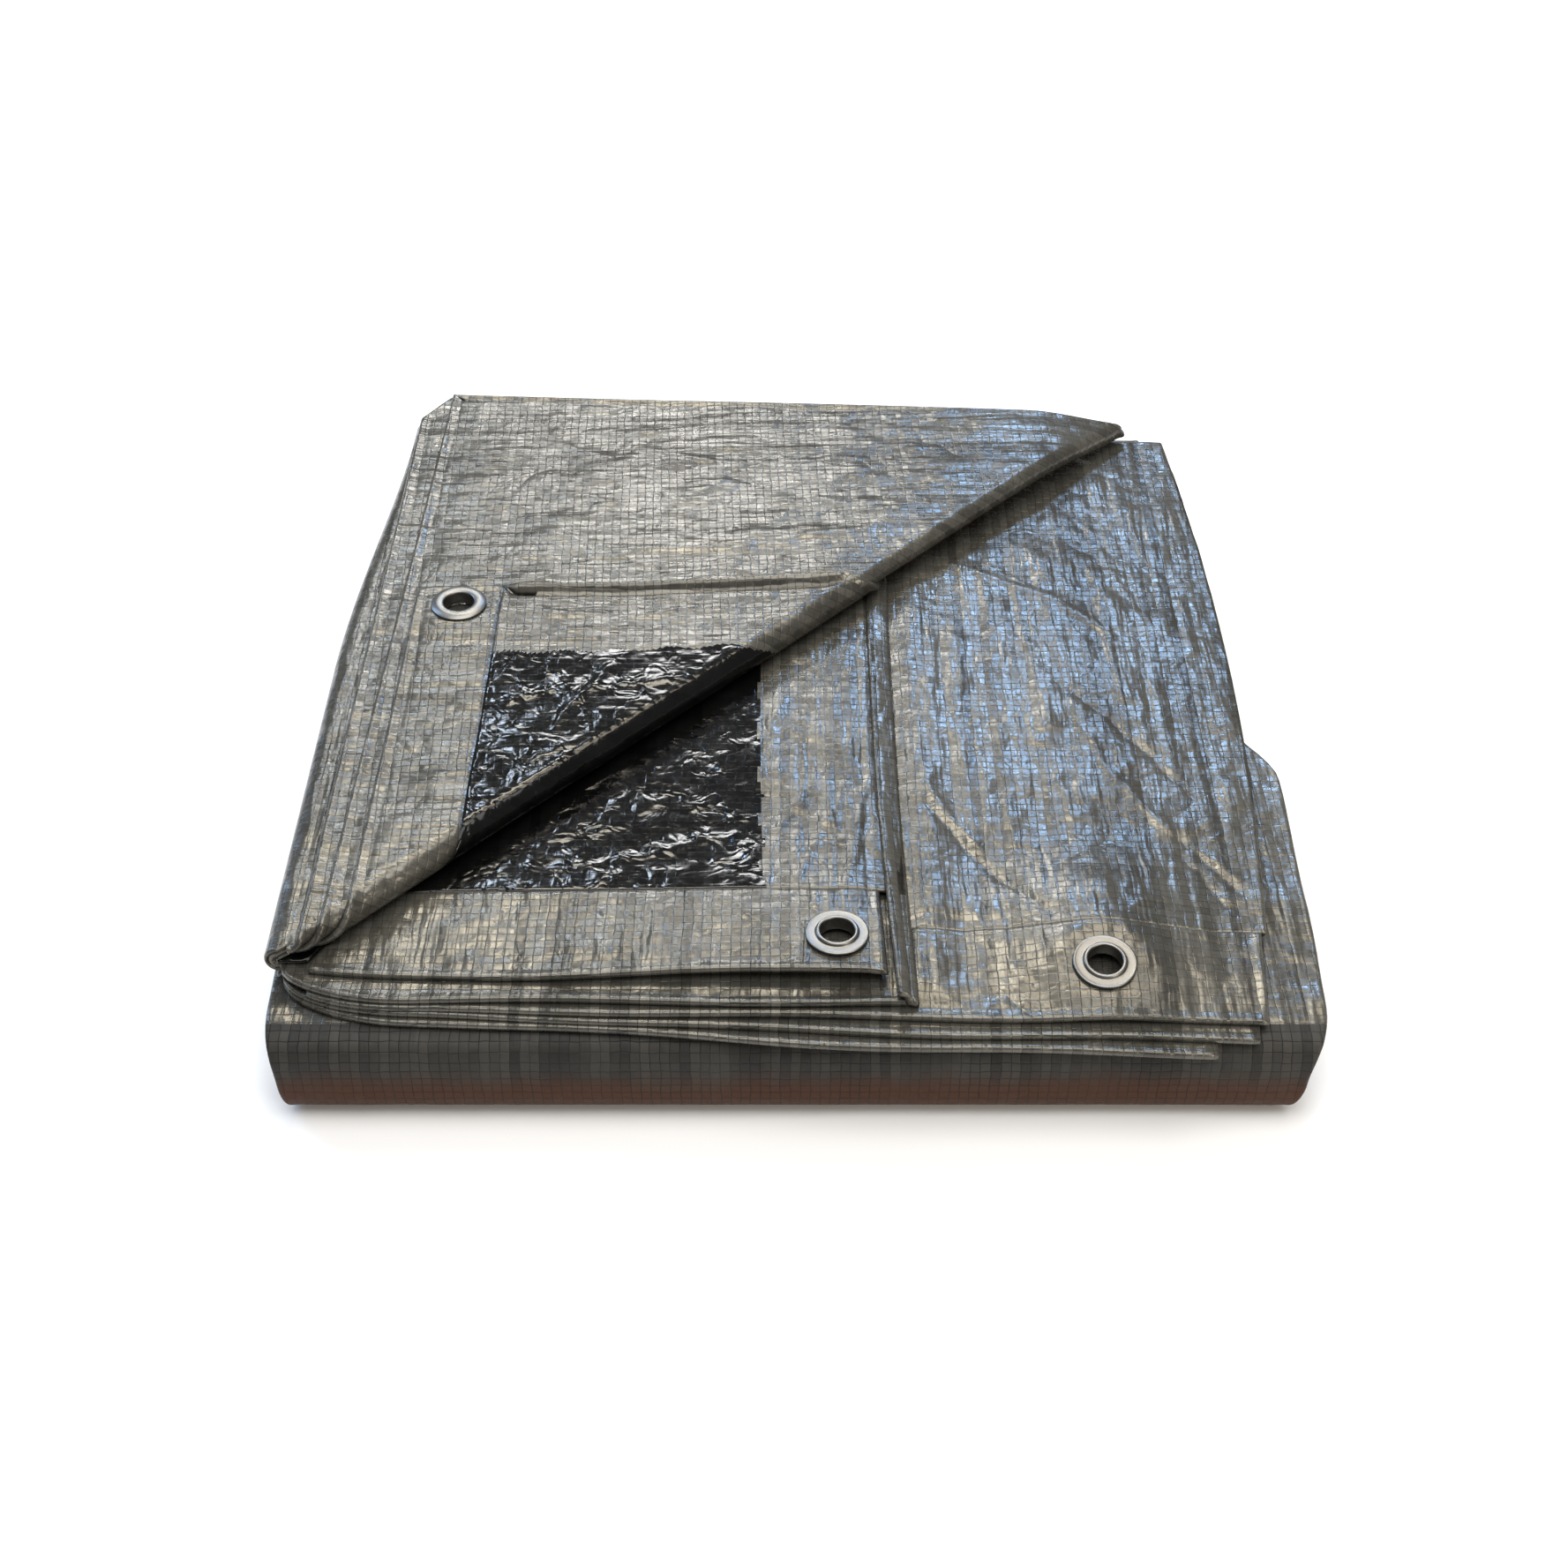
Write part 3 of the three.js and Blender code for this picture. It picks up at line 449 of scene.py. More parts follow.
def block_path():
    """The lower stack's long path as rows of y, z, left and right insets, finest where it is seen."""
    height = lambda k: BLOCK_SHEET / 2 + BLOCK_PITCH * (k - 1)
    rows = []

    def put(y, z, k, following, t):
        a, b = BLOCK_PASSES[k - 1], BLOCK_PASSES[following - 1]
        t = np.broadcast_to(t, np.shape(y))
        rows.append(np.stack([y, np.broadcast_to(z, np.shape(y)), lerp(a[0], b[0], t), lerp(a[1], b[1], t)], 1))

    for n, k in enumerate(BLOCK_ORDER):
        back = BLOCK_PASSES[k - 1, 2]
        following = BLOCK_ORDER[n + 1] if n + 1 < len(BLOCK_ORDER) else k
        forward = n % 2 == 0
        start = BLOCK_PASSES[BLOCK_ORDER[n - 1] - 1, 2] if forward and n else back
        steps = {10: 70, 1: 24}.get(k, 16)
        ends = (start, BLOCK_FRONT_CENTRE) if forward else (BLOCK_FRONT_CENTRE, back)
        put(np.linspace(*ends, steps)[(0 if n == 0 else 1):-1], height(k), k, k, 0.0)
        target = height(following) if following != k else LEVEL["E"] - 0.25
        middle, half = (height(k) + target) / 2, (target - height(k)) / 2
        if forward:
            w = np.linspace(-np.pi / 2, np.pi / 2, {1: 56, 9: 22}.get(k, 14))
            power = 2 / FRONT_FLATNESS
            put(BLOCK_FRONT_CENTRE - abs(half) * FRONT_BULGE * np.clip(np.cos(w), 0, 1) ** power,
                middle + half * np.sign(np.sin(w)) * np.abs(np.sin(w)) ** power, k, following,
                np.linspace(0, 1, len(w)))
        else:
            w = np.linspace(-np.pi / 2, np.pi / 2, 9)
            put(back + abs(half) * np.cos(w), middle + half * np.sin(w), k, following, np.linspace(0, 1, len(w)))
    put(np.array([LAYER_BACK - 14.0]), LEVEL["E"] - 0.25, 10, 10, 0.0)
    return np.concatenate(rows)


def lower_stack():
    """One ribbon carried along the block path; its columns run between the left and right ends."""
    path = block_path()
    y, z = path[:, :1], path[:, 1:2]
    fraction, offset = edge_columns(72)
    left, right = station(y, 1) + path[:, 2:3], station(y, 2) - path[:, 3:4]
    x = lerp(left, right, fraction) + offset
    run = np.concatenate([[0], np.cumsum(np.hypot(np.diff(path[:, 0]), np.diff(path[:, 1])))])[:, None]
    y, z, run = (np.broadcast_to(q, x.shape) for q in (y, z, run))
    q = np.minimum(x - left, right - x)
    outer = np.arange(len(path))[:, None] >= len(path) - 150
    soft = outer * (0.25 * crinkle(x, run, 16, 3) + 0.8 * ease((x - 138) / 20) * crinkle(x, run, 9, 5))
    front = np.clip((BLOCK_FRONT_CENTRE - y) / 18, 0, 1)
    points = np.stack([x, y - soft * front, z + soft * (1 - front) * (z > 30)], -1)
    # Faces off the top of the stack take the darker copy of the film: painted shade on the front and sides.
    top = (z[:-1, :-1] > 31) & (y[:-1, :-1] > -172)
    return points, hem_profile(q, 1.9, 2.2, 0.0), np.stack([x, run], -1), np.where(top, 0, 1)


def base_ribbon(rows, columns, relief=None):
    """A ribbon of base layers: rows across the stack, columns from the front edge to the back."""
    x0, mix, z, front, past, right, right_back, bow, edge_front = (rows[key][:, None] for key in ROW_KEYS)
    fraction, offset = columns
    y = lerp(front, LAYER_BACK, fraction) + offset
    t = (y - edge_front) / (LAYER_BACK - edge_front)
    across = lerp(x0, lerp(right, right_back, t) + bow * 4 * t * (1 - t) + past, mix)
    x = across + lean(across, y)
    z = z + lie(x, y) + sum(lift(name, x, y) * (rows["name"] == name)[:, None] for name in BASE)
    step = np.hypot(np.diff(x, axis=0, prepend=x[:1]), np.diff(z, axis=0, prepend=z[:1]))
    step *= np.where(np.diff(x, axis=0, prepend=x[:1]) < 0, -1, 1)
    run = x[len(x) // 2] + np.cumsum(step, 0) - np.cumsum(step, 0)[len(x) // 2]
    points = np.stack([x, y, z], -1)
    if relief is not None:
        points[..., 2] += relief(x, y) * rows["seen"][:, None]
    q = np.minimum(y - front, LAYER_BACK - y)
    return points, q, np.stack([run, y], -1)


ROW_KEYS = ("x", "mix", "z", "front", "past", "right", "right_back", "bow", "edge_front")


def rows_of(**values):
    """Rows of a ribbon as arrays of one length."""
    size = max(np.size(v) for v in values.values())
    base = dict(x=0.0, mix=0.0, z=0.0, front=SPINE_FRONT, past=0.0, right=0.0, right_back=0.0, bow=0.0,
                edge_front=-180.0, name="", seen=0.0)
    base.update(values)
    return {key: np.broadcast_to(np.asarray(v), size) for key, v in base.items()}


def join_rows(*parts):
    return {key: np.concatenate([p[key] for p in parts]) for key in parts[0]}


def layer_rows(name, covered, shown, strip, leftward, seam=None):
    """Rows of one flat layer from the left spine to its right edge, finer past the covered part."""
    layer = BASE[name]
    seam = STRIP_LEFT["inner"] + 1 if seam is None else seam
    x = np.concatenate([np.linspace(LEFT_END, STRIP_LEFT["inner"], 14)[:-1],
                        np.linspace(STRIP_LEFT["inner"], seam, covered)[:-1],
                        np.linspace(seam, layer["right"], shown)])
    if strip:
        t = np.clip((x - STRIP_LEFT["front"]) / (STRIP_LEFT["inner"] - STRIP_LEFT["front"]), 0, 1)
        front = lerp(SPINE_FRONT, layer["front"] + HEM_WIDTH, t)
    else:
        front = front_edge(name, x)
    rows = rows_of(x=np.full(len(x), LEFT_END), mix=(x - LEFT_END) / (layer["right"] - LEFT_END), z=LEVEL[name],
                   front=front, right=layer["right"], right_back=layer["right_back"], bow=layer["bow"],
                   edge_front=layer["front"], name=name, seen=1.0)
    return {key: v[::-1] for key, v in rows.items()} if leftward else rows


def right_turn(low, high, front, steps=9):
    """Rows round the right edge from one layer up to the next: a half circle between their levels."""
    w = np.linspace(-np.pi / 2, np.pi / 2, steps + 2)[1:-1]
    t = np.linspace(0, 1, steps + 2)[1:-1]
    a, b = BASE[low], BASE[high]
    r = (LEVEL[high] - LEVEL[low]) / 2
    return rows_of(mix=np.ones(steps), z=LEVEL[low] + r + r * np.sin(w), past=r * np.cos(w), front=front,
                   right=lerp(a["right"], b["right"], t), right_back=lerp(a["right_back"], b["right_back"], t),
                   bow=lerp(a["bow"], b["bow"], t),
                   edge_front=lerp(a["front"], b["front"], t), name=np.where(t > 0.5, high, ""))


def spine_turn(low, high, x, steps):
    """Rows round the left spine from one level to another: a half circle."""
    w = np.linspace(-np.pi / 2, np.pi / 2, steps)
    r = (high - low) / 2
    return rows_of(x=x - abs(r) * np.cos(w), z=(low + high) / 2 + r * np.sin(w))


def fold_point(layer, along, across):
    """The turned corner: flat before the fold line, round it on the layer's radius, then flat and upside down."""
    r = FOLD_HEIGHT - LEVEL[layer]
    w = np.clip(across / r, 0, np.pi)
    d = np.where(across <= 0, across, r * np.sin(w) - np.maximum(0, across - np.pi * r))
    x = FOLD_POINT[0] + along * ALONG[0] + d * ACROSS[0]
    y = FOLD_POINT[1] + along * ALONG[1] + d * ACROSS[1]
    droop = FAR_DROOP["drop"] * ease((x - FAR_DROOP["start"]) / FAR_DROOP["reach"])
    z = FOLD_HEIGHT - r * np.cos(w) + lie(x, y) - droop + np.where(w >= np.pi, lift(layer, x, y), 0)
    return np.stack([x, y, z], -1)


def fold_axes(p):
    """Distances along and across the fold line of flat points."""
    p = np.asarray(p, float) - FOLD_POINT
    return p @ ALONG, p @ ACROSS


def chord(outline, across):
    """Where the lines at given distances across the fold enter and leave a convex outline."""
    low, high = np.full(len(across), np.inf), np.full(len(across), -np.inf)
    for p, q in zip(outline, outline[1:] + outline[:1]):
        (pa, pc), (qa, qc) = fold_axes(p), fold_axes(q)
        t = (across - pc) / (qc - pc)
        hit = (t >= -1e-9) & (t <= 1 + 1e-9)
        low = np.where(hit, np.minimum(low, lerp(pa, qa, t)), low)
        high = np.where(hit, np.maximum(high, lerp(pa, qa, t)), high)
    return low, high


def edge_distance(outline, sides, x, y):
    """Smallest distance from flat points to the named sides of an outline."""
    best = np.full(x.shape, 1e3)
    for k in sides:
        p, q = np.array(outline[k]), np.array(outline[(k + 1) % len(outline)])
        t = (q - p) / np.linalg.norm(q - p)
        best = np.minimum(best, (y - p[1]) * t[0] - (x - p[0]) * t[1])
    return best


def flap_outline(name, inset=0.0):
    """A turned layer's outline as it lay flat, with a corner cut where the layer has one."""
    f = FLAP[name]
    x, y, cut = f["right_front"], f["front_right"] + inset, f.get("cut", 0.0)
    corners = [(x - cut, y - 0.03 * cut), (x - 0.05 * cut, y + 0.7 * cut)] if cut else [(x, y)]
    return [(FLAP_LEFT, f["front_left"] + inset), *corners, (f["right_back"], LAYER_BACK),
            (FLAP_LEFT + SPINE_SKEW["shift"], LAYER_BACK), (FLAP_LEFT + 0.35 * SPINE_SKEW["shift"], 60),
            (FLAP_LEFT, 0)]


def flap_grid(name, outline, spacing, columns, corner=1.2, stop_low=None):
    """A turned layer as a grid: rows across the fold line, finest round it, columns along it."""
    r = FOLD_HEIGHT - LEVEL[name]
    d = np.array([fold_axes(p)[1] for p in outline])
    first, last = d.min() + corner, d.max() - corner
    if stop_low is not None:
        first = max(first, stop_low)
    flat_low = np.linspace(first, 0, max(2, int(-first / 6)))[:-1] if first < 0 else np.array([])
    start = max(0.0, first)
    turn = np.linspace(start, np.pi * r, 26)[:-1]
    flat_high = np.linspace(np.pi * r, last, int((last - np.pi * r) / spacing))
    end = last + (corner - 0.3) * np.array([0.3, 0.6, 1.0])
    across = np.concatenate([flat_low, turn, flat_high, end])
    low, high = chord(outline, across)
    fraction, offset = columns
    room = np.clip((high - low) / 14, 0, 1)[:, None]
    along = lerp(low[:, None], high[:, None], fraction) + offset * room
    across = np.broadcast_to(across[:, None], along.shape)
    x = FOLD_POINT[0] + along * ALONG[0] + across * ACROSS[0]
    y = FOLD_POINT[1] + along * ALONG[1] + across * ACROSS[1]
    return fold_point(name, along, across), across > np.pi * r, np.stack([x, y], -1)


def cloth(nodes):
    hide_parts(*nodes)


def ripples(x, y, seed):
    """Fine long ripples of the film that run front to back: sines of x bent and masked by slower sines."""
    rng = np.random.default_rng(seed)
    total = 0.0
    for pitch, phase, bend in rng.uniform((0.9, 0, 0), (2.6, 6.3, 6.3), (6, 3)):
        mask = ease(0.5 + 0.9 * np.sin(y / (14 * pitch) + bend + x / 31) * np.sin(x / 17 + 2 * phase))
        total = total + pitch * np.sin(x / pitch + phase + 0.8 * np.sin(y / 19 + bend)) * mask
    return total / 6


def relief_c(x, y):
    """Layer C where it is open: slow swells, ripples toward the right, and its creases."""
    open_area = ease((x - 42) / 10)
    swell = 0.65 * crinkle(x, y, 27, 11) + 0.18 * ripples(x, y, 12) + 0.14 * crinkle(x, y, 9, 13)
    rise = 1.5 * ease((x - 38) / 3) * (1 - ease((x - 43) / 16)) * ease((y + 172) / 14)
    return open_area * swell + rise + ease((x - 30) / 6) * creases(x, y, CREASES_C)


def edge_sink(x, y):
    """Layer A eases down over the last 9 mm to its right edge."""
    return 0.9 * ease((x - right_edge("A", y) + 9) / 9)


def relief_a(x, y):
    """Layer A: sharp small crumples on its dark side, longer ones on its pale side band."""
    dark = ease((right_edge("A", y) - BAND - x) / 4)
    crumple = dark * (0.45 * crinkle(x, y, 12, 21, 8, 2.2) + 0.1 * crinkle(x, y, 6, 22, 6, 1.6))
    return crumple + (1 - dark) * 0.22 * crinkle(x, y, 10, 23) + creases(x, y, CREASES_A) - edge_sink(x, y)


def seat_plane(eyelet, layer, h=8.0):
    """The flat seat an eyelet presses into its strip: the mean plane of four points round it."""
    x, y = EYELETS[eyelet]
    east, west, north, south = layer_height(
        layer, np.array([x + h, x - h, x, x]), np.array([y, y, y + h, y - h]))
    return x, y, (east + west + north + south) / 4, (east - west) / (2 * h), (north - south) / (2 * h)


def pressed(points, plane, where=True):
    """Blends cloth into the seat of its eyelet between 11.5 and 24 mm from the middle; gives the hole's cells."""
    x0, y0, z0, sx, sy = plane
    x, y = points[..., 0], points[..., 1]
    near = np.where(where, ease((np.hypot(x - x0, y - y0) - 11.5) / 12.5), 1.0)
    points[..., 2] = lerp(z0 + sx * (x - x0) + sy * (y - y0), points[..., 2], near)
    centre = (points[:-1, :-1] + points[1:, 1:]) / 2
    return np.hypot(centre[..., 0] - x0, centre[..., 1] - y0) < 7.2


def far_rim(q):
    """The far edge stands up as a cord-like rim with a furrow in front of it: two bells of the distance."""
    return 1.9 * np.exp(-((q / 2.2) ** 2)) - 1.0 * np.exp(-(((q - 4.8) / 1.4) ** 2))


def weld(back):
    """A strip thins to a feather at the line where it is welded to the cloth behind it."""
    return np.clip(0.12 + back / 2.2, 0.12, 1)


def hem_strip(layer, eyelet, steps, columns):
    """A front strip from its slanted left end to the right edge, rolled at its front."""
    front = BASE[layer]["front"]
    plane = seat_plane(eyelet, layer)
    inner = front + HEM_WIDTH + 1.4
    fraction, offset = columns
    left = np.full(len(fraction), STRIP_LEFT["front"])
    for _ in range(6):
        y = lerp(front_edge(layer, left), inner, fraction) + offset
        slant = np.clip((y - SPINE_FRONT) / (inner - SPINE_FRONT), 0, 1)
        left = lerp(STRIP_LEFT["front"], STRIP_LEFT["inner"], slant) + STRIP_LEFT["clear"]
    t = np.linspace(0, 1, steps)[:, None]
    right = right_edge(layer, y)[None] - 1.0
    x = lerp(left[None], right, t)
    y = lerp(front_edge(layer, x), inner, fraction) + offset
    soft = relief_c(x, y) if layer == "C" else 0.25 * crinkle(x, y, 9, 61) + creases(x, y, CREASES_A)
    z = layer_height(layer, x, y) + soft * ease((y - front - 3) / 5) - (edge_sink(x, y) if layer == "A" else 0)
    points = np.stack([x, y, z], -1)
    hole = pressed(points, plane)
    q = np.minimum(y - front_edge(layer, x), right - x + 0.05)
    thick = hem_profile(q, HEM_SHEET, 2.6)
    return points, thick * weld(inner - y), np.stack([x, y], -1), hole


def smooth_ring(section, rounds=2):
    """Rounds the corners of a closed section by cutting each side at a quarter and three quarters."""
    p = np.asarray(section, float)
    for _ in range(rounds):
        q = np.roll(p, -1, 0)
        p = np.stack([0.75 * p + 0.25 * q, 0.25 * p + 0.75 * q], 1).reshape(-1, 2)
    return p


def eyelet(label, plane, washer_up):
    """A pressed ring: a closed section turned round the eyelet's axis and set on its seat."""
    face = HEM_SHEET / 2 + GAP + 0.25
    b, f = BORE_RADIUS, FLANGE_RADIUS
    section = smooth_ring([
        (b, -face - 0.3), (b + 0.5, -face - 0.95), (b + 2.2, -face - 1.15), (f - 1.3, -face - 0.85),
        (f, -face - 0.1), (f, -face + 0.15), (f - 0.5, -face + 0.2), (b + 0.8, -face + 0.1),
        (b + 0.8, face - 0.1), (f - 0.6, face - 0.15),
        (f, face - 0.05), (f, face + 0.5), (f - 0.5, face + 0.75), (f - 0.9, face + 0.6),
        (b + 1.75, face + 0.55), (b + 1.5, face + 0.8), (b + 1.45, face + 1.3), (b + 1.0, face + 1.7),
        (b + 0.3, face + 1.65), (b, face + 1.1)])
    if not washer_up:
        section = section[::-1] * (1, -1)
    w = np.linspace(0, 2 * np.pi, RING_SIDES, endpoint=False)[:, None]
    r, h = section[:, 0], section[:, 1]
    x0, y0, z0, sx, sy = plane
    up = np.array([-sx, -sy, 1.0]) / np.sqrt(sx * sx + sy * sy + 1)
    east = np.cross((0, 1, 0), up) / np.linalg.norm(np.cross((0, 1, 0), up))
    north = np.cross(up, east)
    verts = (np.array([x0, y0, z0]) + (r * np.cos(w))[..., None] * east + (r * np.sin(w))[..., None] * north
             + (h * np.ones_like(w))[..., None] * up)
    n = len(section)
    ids = np.arange(RING_SIDES * n).reshape(RING_SIDES, n)
    after, up_one = np.roll(ids, -1, 0), np.roll(ids, -1, 1)
    faces = np.stack([ids, after, np.roll(after, -1, 1), up_one], -1).reshape(-1, 4)
    piece = mesh_piece(label + "_ring", verts.reshape(-1, 3), faces, verts.reshape(-1, 3)[:, :2], (metal,))
    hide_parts(label)


def lower_part():
    """The lower stack as one piece."""
    points, thick, flat, side = lower_stack()
    stack = sheet_piece("lower_stack", points, thick, flat, STACK_CLOTH, side, side)
    cloth(["sheeting"])


def base_layers():
    """The flat layers on the stack, from the lowest up."""
    points, q, flat = base_ribbon(join_rows(
        layer_rows("E", 2, 90, False, True), spine_turn(LEVEL["E"], LEVEL["D"], SPINE_X, 9),
        layer_rows("D", 2, 90, False, False)), edge_columns(44))
    piece = sheet_piece("layer_low", points, hem_profile(q, SHEET, 2.7), flat, CLOTH)
    cloth(["sheeting"])

    points, q, flat = base_ribbon(join_rows(
        right_turn("D", "C", BASE["C"]["front"] + HEM_WIDTH), layer_rows("C", 36, 124, True, True, 40.0),
        spine_turn(LEVEL["C"], LEVEL["D1"] - 0.25, SPINE_X, 26),
        rows_of(x=np.array([-154.5]), z=LEVEL["D1"] - 0.25, front=-147.0)), edge_columns(190), relief_c)
    pressed(points, seat_plane("middle", "C"))
    piece = sheet_piece("layer_c", points, hem_profile(q, SHEET, 1.5, 0.0), flat, CLOTH)
    cloth(["sheeting"])

    points, q, flat = base_ribbon(join_rows(
        rows_of(x=np.array([-154.5]), z=LEVEL["C1"] - 0.25, front=-147.0),
        spine_turn(LEVEL["C1"] - 0.25, LEVEL["A2"], SPINE_X, 20),
        layer_rows("A2", 2, 130, False, False), right_turn("A2", "A", BASE["A2"]["front"])), edge_columns(60))
    piece = sheet_piece("layer_a2", points, hem_profile(q, SHEET, 2.7), flat, CLOTH)
    cloth(["sheeting"])

    rows = join_rows(
        rows_of(x=np.array([-154.5]), z=LEVEL["B"] - 0.25, front=-147.0),
        spine_turn(LEVEL["B"] - 0.25, LEVEL["A"], SPINE_X, 14), layer_rows("A", 2, 145, True, False),
        right_turn("A2", "A", BASE["A"]["front"] + HEM_WIDTH, 5))
    points, q, flat = base_ribbon(rows, edge_columns(165), relief_a)
    centre = (points[:-1, :-1] + points[1:, 1:]) / 2
    hem = right_edge("A", centre[..., 1]) - centre[..., 0] < BAND + 0.8 * np.sin(centre[..., 1] / 3.7)
    piece = sheet_piece("layer_a", points, hem_profile(q, SHEET, 1.5, 0.0), flat, CLOTH, np.where(hem, 0, 1), 0)
    cloth(["sheeting"])


def turned_layers():
    """The two lower layers of the turned corner."""
    for name, label, spacing, count in (("D1", "flap_inner", 3.0, 60), ("C1", "flap_middle", 1.45, 185)):
        outline = flap_outline(name)
        points, over, flat = flap_grid(name, outline, spacing, edge_columns(count))
        q = edge_distance(outline, OPEN_SIDES, flat[..., 0], flat[..., 1])
        if name == "C1":
            x, y = points[..., 0], points[..., 1]
            swell = 0.75 * crinkle(x, y, 27, 31) + 0.16 * ripples(y, x, 32) + 0.12 * crinkle(x, y, 8, 33)
            points[..., 2] += over * (swell * ease(q / 6) + ease((y - 36) / 6) * creases(x, y, CREASES_C1))
        piece = sheet_piece(label, points, hem_profile(q, SHEET, 2.6), flat, CLOTH)
        cloth(["sheeting"])


def turned_top():
    """The top layer of the turned corner: pale band, dark side, and its rim."""
    outline = flap_outline("B", FLAP_HEM_WIDTH + GAP)
    points, over, flat = flap_grid("B", outline, 1.2, edge_columns(150))
    x, y = points[..., 0], points[..., 1]
    q = edge_distance(outline, FAR_SIDE, flat[..., 0], flat[..., 1])
    dark = ease((q - BAND) / 4)
    swell = dark * (0.45 * crinkle(x, y, 14, 41, 8, 2.2) + 0.08 * crinkle(x, y, 6, 42, 6, 1.6))
    swell += (1 - dark) * (0.25 * crinkle(x, y, 12, 43) + 0.1 * ripples(x, y, 44)) + creases(x, y, CREASES_B)
    start = ease(edge_distance(outline, FRONT_SIDE, flat[..., 0], flat[..., 1]) / 7)
    points[..., 2] += over * (ease(q / 4) * swell + far_rim(q) * start)
    pressed(points, seat_plane("flap", "B"), over)
    centre = (flat[:-1, :-1] + flat[1:, 1:]) / 2
    band = BAND + 0.8 * np.sin(flat[:-1, :-1, 1] / 3.1)
    hem = edge_distance(outline, FAR_SIDE, centre[..., 0], centre[..., 1]) < band
    thick = hem_profile(q, SHEET, 3.0, 0.5)
    thick = thick * np.clip(edge_distance(outline, FRONT_SIDE, flat[..., 0], flat[..., 1]), 0.15, 1)
    piece = sheet_piece("flap_top", points, thick, flat, CLOTH, 0, np.where(hem, 0, 1))
    cloth(["sheeting"])


def front_strips():
    """The two front strips with eyelets."""
    for layer, eyelet, label, steps in (("A", "upper", "hem_upper", 170), ("C", "middle", "hem_middle", 230)):
        points, thick, flat, hole = hem_strip(layer, eyelet, steps, edge_columns(40))
        piece = sheet_piece(label + "_strip", points, thick, flat, CLOTH, 0, 0, hole)
        cloth([label])


def flap_strip():
    """The strip of the turned corner, carried round the fold."""
    outline = [(FLAP_LEFT, FLAP["B"]["front_left"]), (FLAP["B"]["right_front"], FLAP["B"]["front_right"]),
               (FLAP["B"]["right_front"] + 0.1, FLAP["B"]["front_right"] + FLAP_HEM_WIDTH + 1.8),
               (FLAP_LEFT, FLAP["B"]["front_left"] + FLAP_HEM_WIDTH + 1.8)]
    points, over, flat = flap_grid("B", outline, 1.3, edge_columns(46), 1.2, -6.0)
    q = edge_distance(outline, OPEN_SIDES, flat[..., 0], flat[..., 1])
    back = edge_distance(outline, WELD_SIDE, flat[..., 0], flat[..., 1])
    swell = 0.25 * crinkle(points[..., 0], points[..., 1], 12, 51) + creases(points[..., 0], points[..., 1], CREASES_B)
    points[..., 2] += over * ease(q / 4) * swell
    hole = pressed(points, seat_plane("flap", "B")) & over[:-1, :-1]
    thick = hem_profile(q, HEM_SHEET, 2.4) * weld(back)
    piece = sheet_piece("hem_flap_strip", points, thick, flat, CLOTH, 0, 0, hole)
    cloth(["hem_flap"])


lower_part()
base_layers()
turned_layers()
turned_top()
front_strips()
flap_strip()
eyelet("eyelet_upper", seat_plane("upper", "A"), True)
eyelet("eyelet_middle", seat_plane("middle", "C"), True)
eyelet("eyelet_flap", seat_plane("flap", "B"), False)


# Floor, light and camera.
def floor_paint():
    g = Graph("floor_paint")
    at = g.node("ShaderNodeTexCoord").outputs["Object"]
    tone = g.mix(g.noise(at, 3.0, 2.0), (0.86, 0.86, 0.86, 1), (0.9, 0.9, 0.9, 1))
    shade = g.node("ShaderNodeBsdfPrincipled", None, {"Base Color": tone, "Roughness": 0.7})
    g.node("ShaderNodeOutputMaterial", None, {"Surface": shade.outputs[0]})
    return g.material


def make_floor():
    mesh = bpy.data.meshes.new("floor")
    corners = [(-5, -5, -0.0004), (5, -5, -0.0004), (5, 5, -0.0004), (-5, 5, -0.0004)]
    mesh.from_pydata(corners, [], [(0, 1, 2, 3)])
    mesh.materials.append(floor_paint())
    floor = bpy.data.objects.new("floor", mesh)
    bpy.context.collection.objects.link(floor)


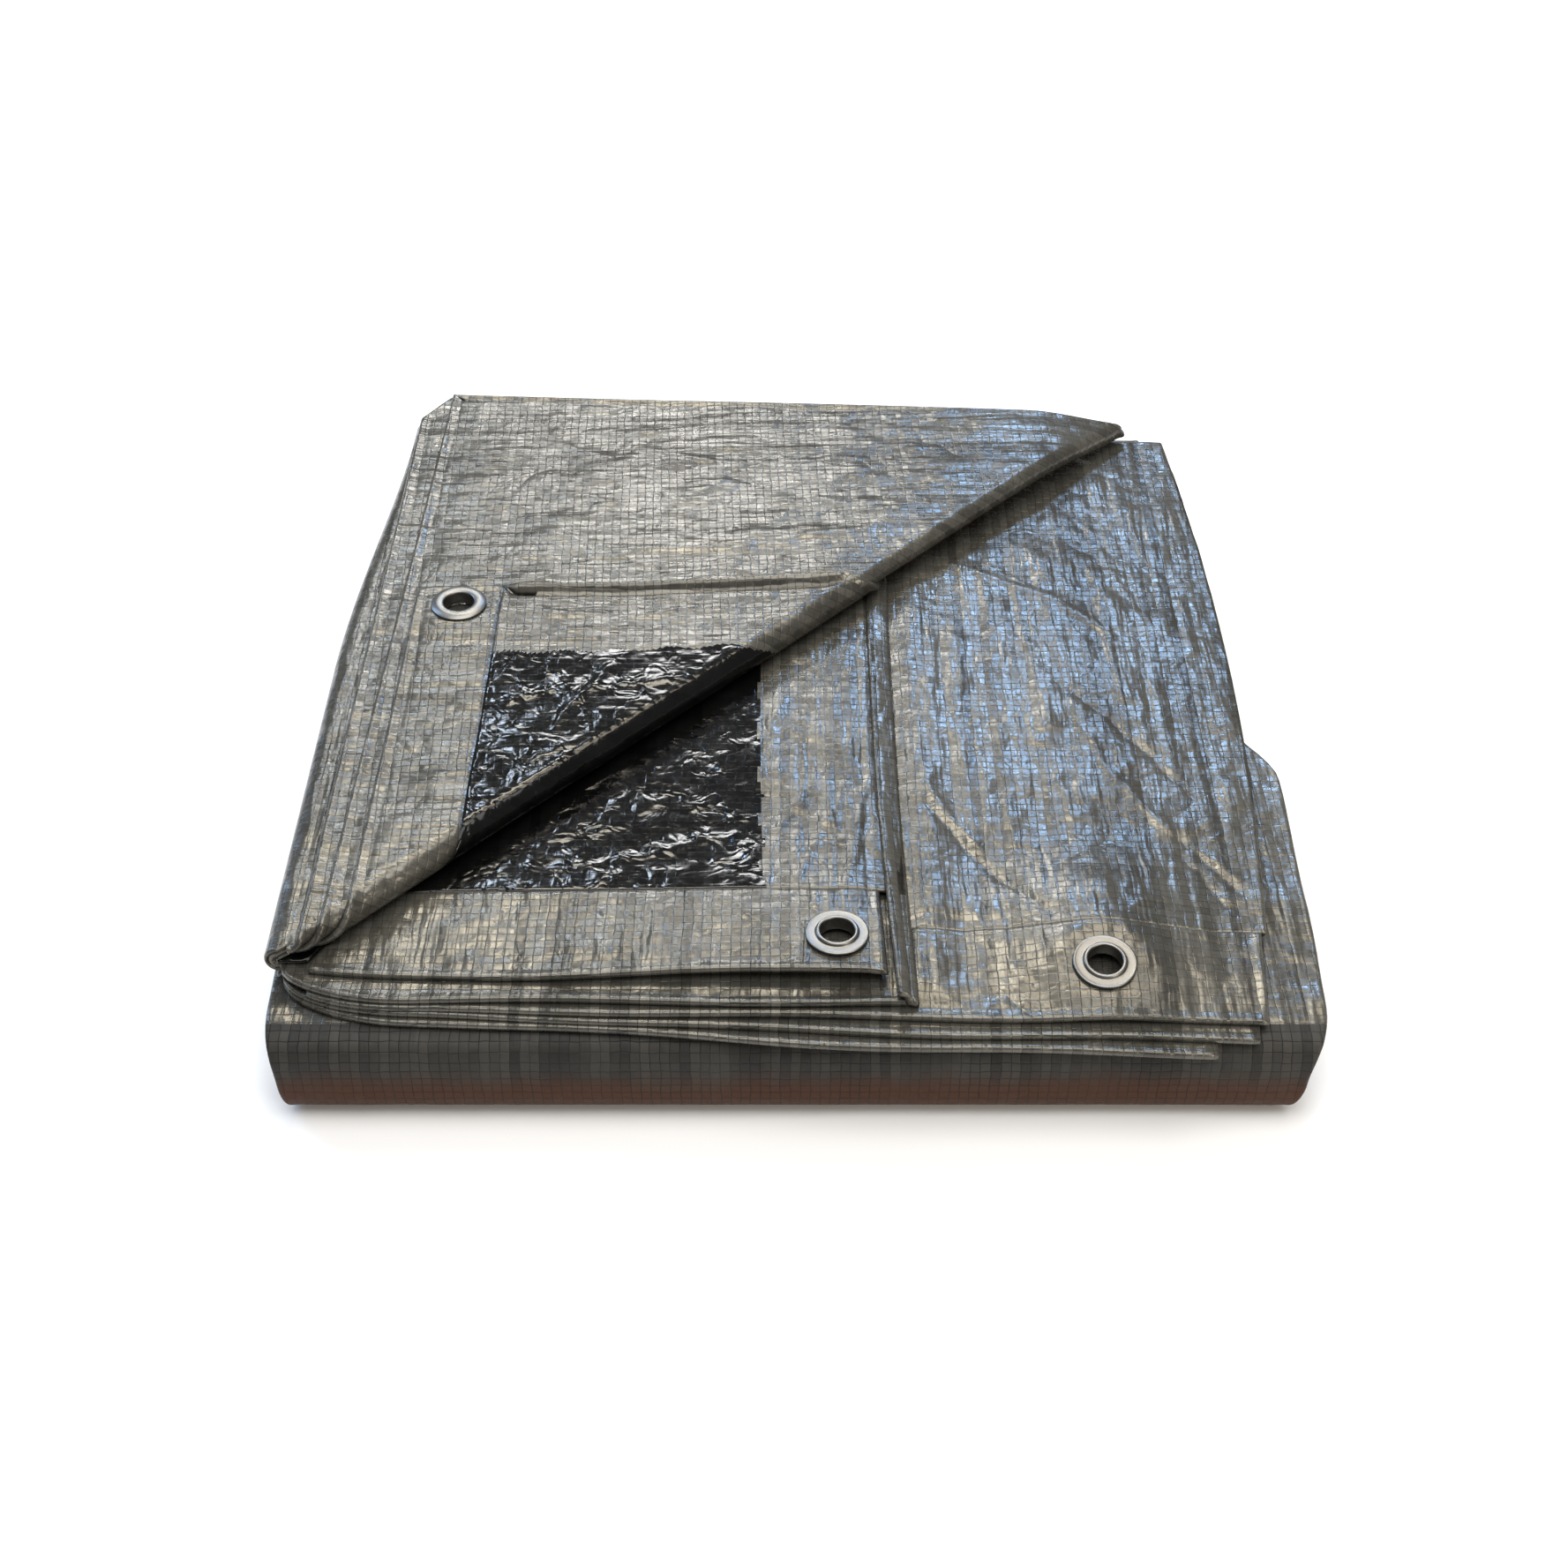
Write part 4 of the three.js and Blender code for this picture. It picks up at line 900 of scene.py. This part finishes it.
def soft_light(name, place, aim, size, power, colour):
    """A square soft box at a place, turned to face a point."""
    data = bpy.data.lights.new(name, "AREA")
    data.shape, data.size, data.size_y = "RECTANGLE", size[0], size[1]
    data.energy, data.color = power, colour
    lamp = bpy.data.objects.new(name, data)
    lamp.location = place
    lamp.rotation_euler = (Vector(aim) - Vector(place)).to_track_quat("-Z", "Y").to_euler()
    bpy.context.collection.objects.link(lamp)


make_floor()
soft_light("top_box", (0.1, -0.35, 1.7), (0, 0, 0), (1.6, 1.2), 29, (1.0, 0.99, 0.97))
soft_light("back_panel", (-0.15, 0.62, 1.10), (-0.05, -0.1, 0), (0.40, 0.16), 4.6, (1.0, 0.93, 0.79))
soft_light("warm_panel", (0.27, 0.50, 1.24), (0.05, -0.1, 0), (0.42, 0.24), 3.2, (1.0, 0.88, 0.70))
soft_light("blue_panel", (0.29, 1.03, 0.885), (0.1, -0.02, 0), (0.17, 0.09), 3.4, (0.34, 0.58, 1.0))
soft_light("far_panel", (-0.10, 1.21, 0.80), (-0.04, 0.1, 0), (0.34, 0.12), 3.5, (1.0, 1.0, 1.0))
soft_light("left_panel", (-0.37, 0.97, 0.915), (-0.13, -0.04, 0), (0.14, 0.10), 1.6, (0.72, 0.84, 1.0))
soft_light("right_fill", (0.85, -0.95, 0.55), (0, 0, 0.03), (0.35, 0.5), 5.0, (1.0, 0.90, 0.74))
soft_light("left_strip", (-0.95, 0.45, 0.62), (-0.15, 0, 0), (0.2, 0.9), 5.0, (0.42, 0.64, 1.0))

world = bpy.data.worlds.new("studio")
world.use_nodes = True
world.node_tree.nodes["Background"].inputs[0].default_value = (1, 1, 1, 1)
world.node_tree.nodes["Background"].inputs[1].default_value = 0.30
bpy.context.scene.world = world
bpy.context.scene.view_settings.view_transform = "Standard"

lens = bpy.data.cameras.new("camera")
lens.sensor_width, lens.lens = 36.0, 49.49
camera = bpy.data.objects.new("camera", lens)
camera.location = (-0.005, -0.616965, 0.5443)
camera.rotation_euler = (np.radians(48.0), 0, 0)
bpy.context.collection.objects.link(camera)
bpy.context.scene.camera = camera
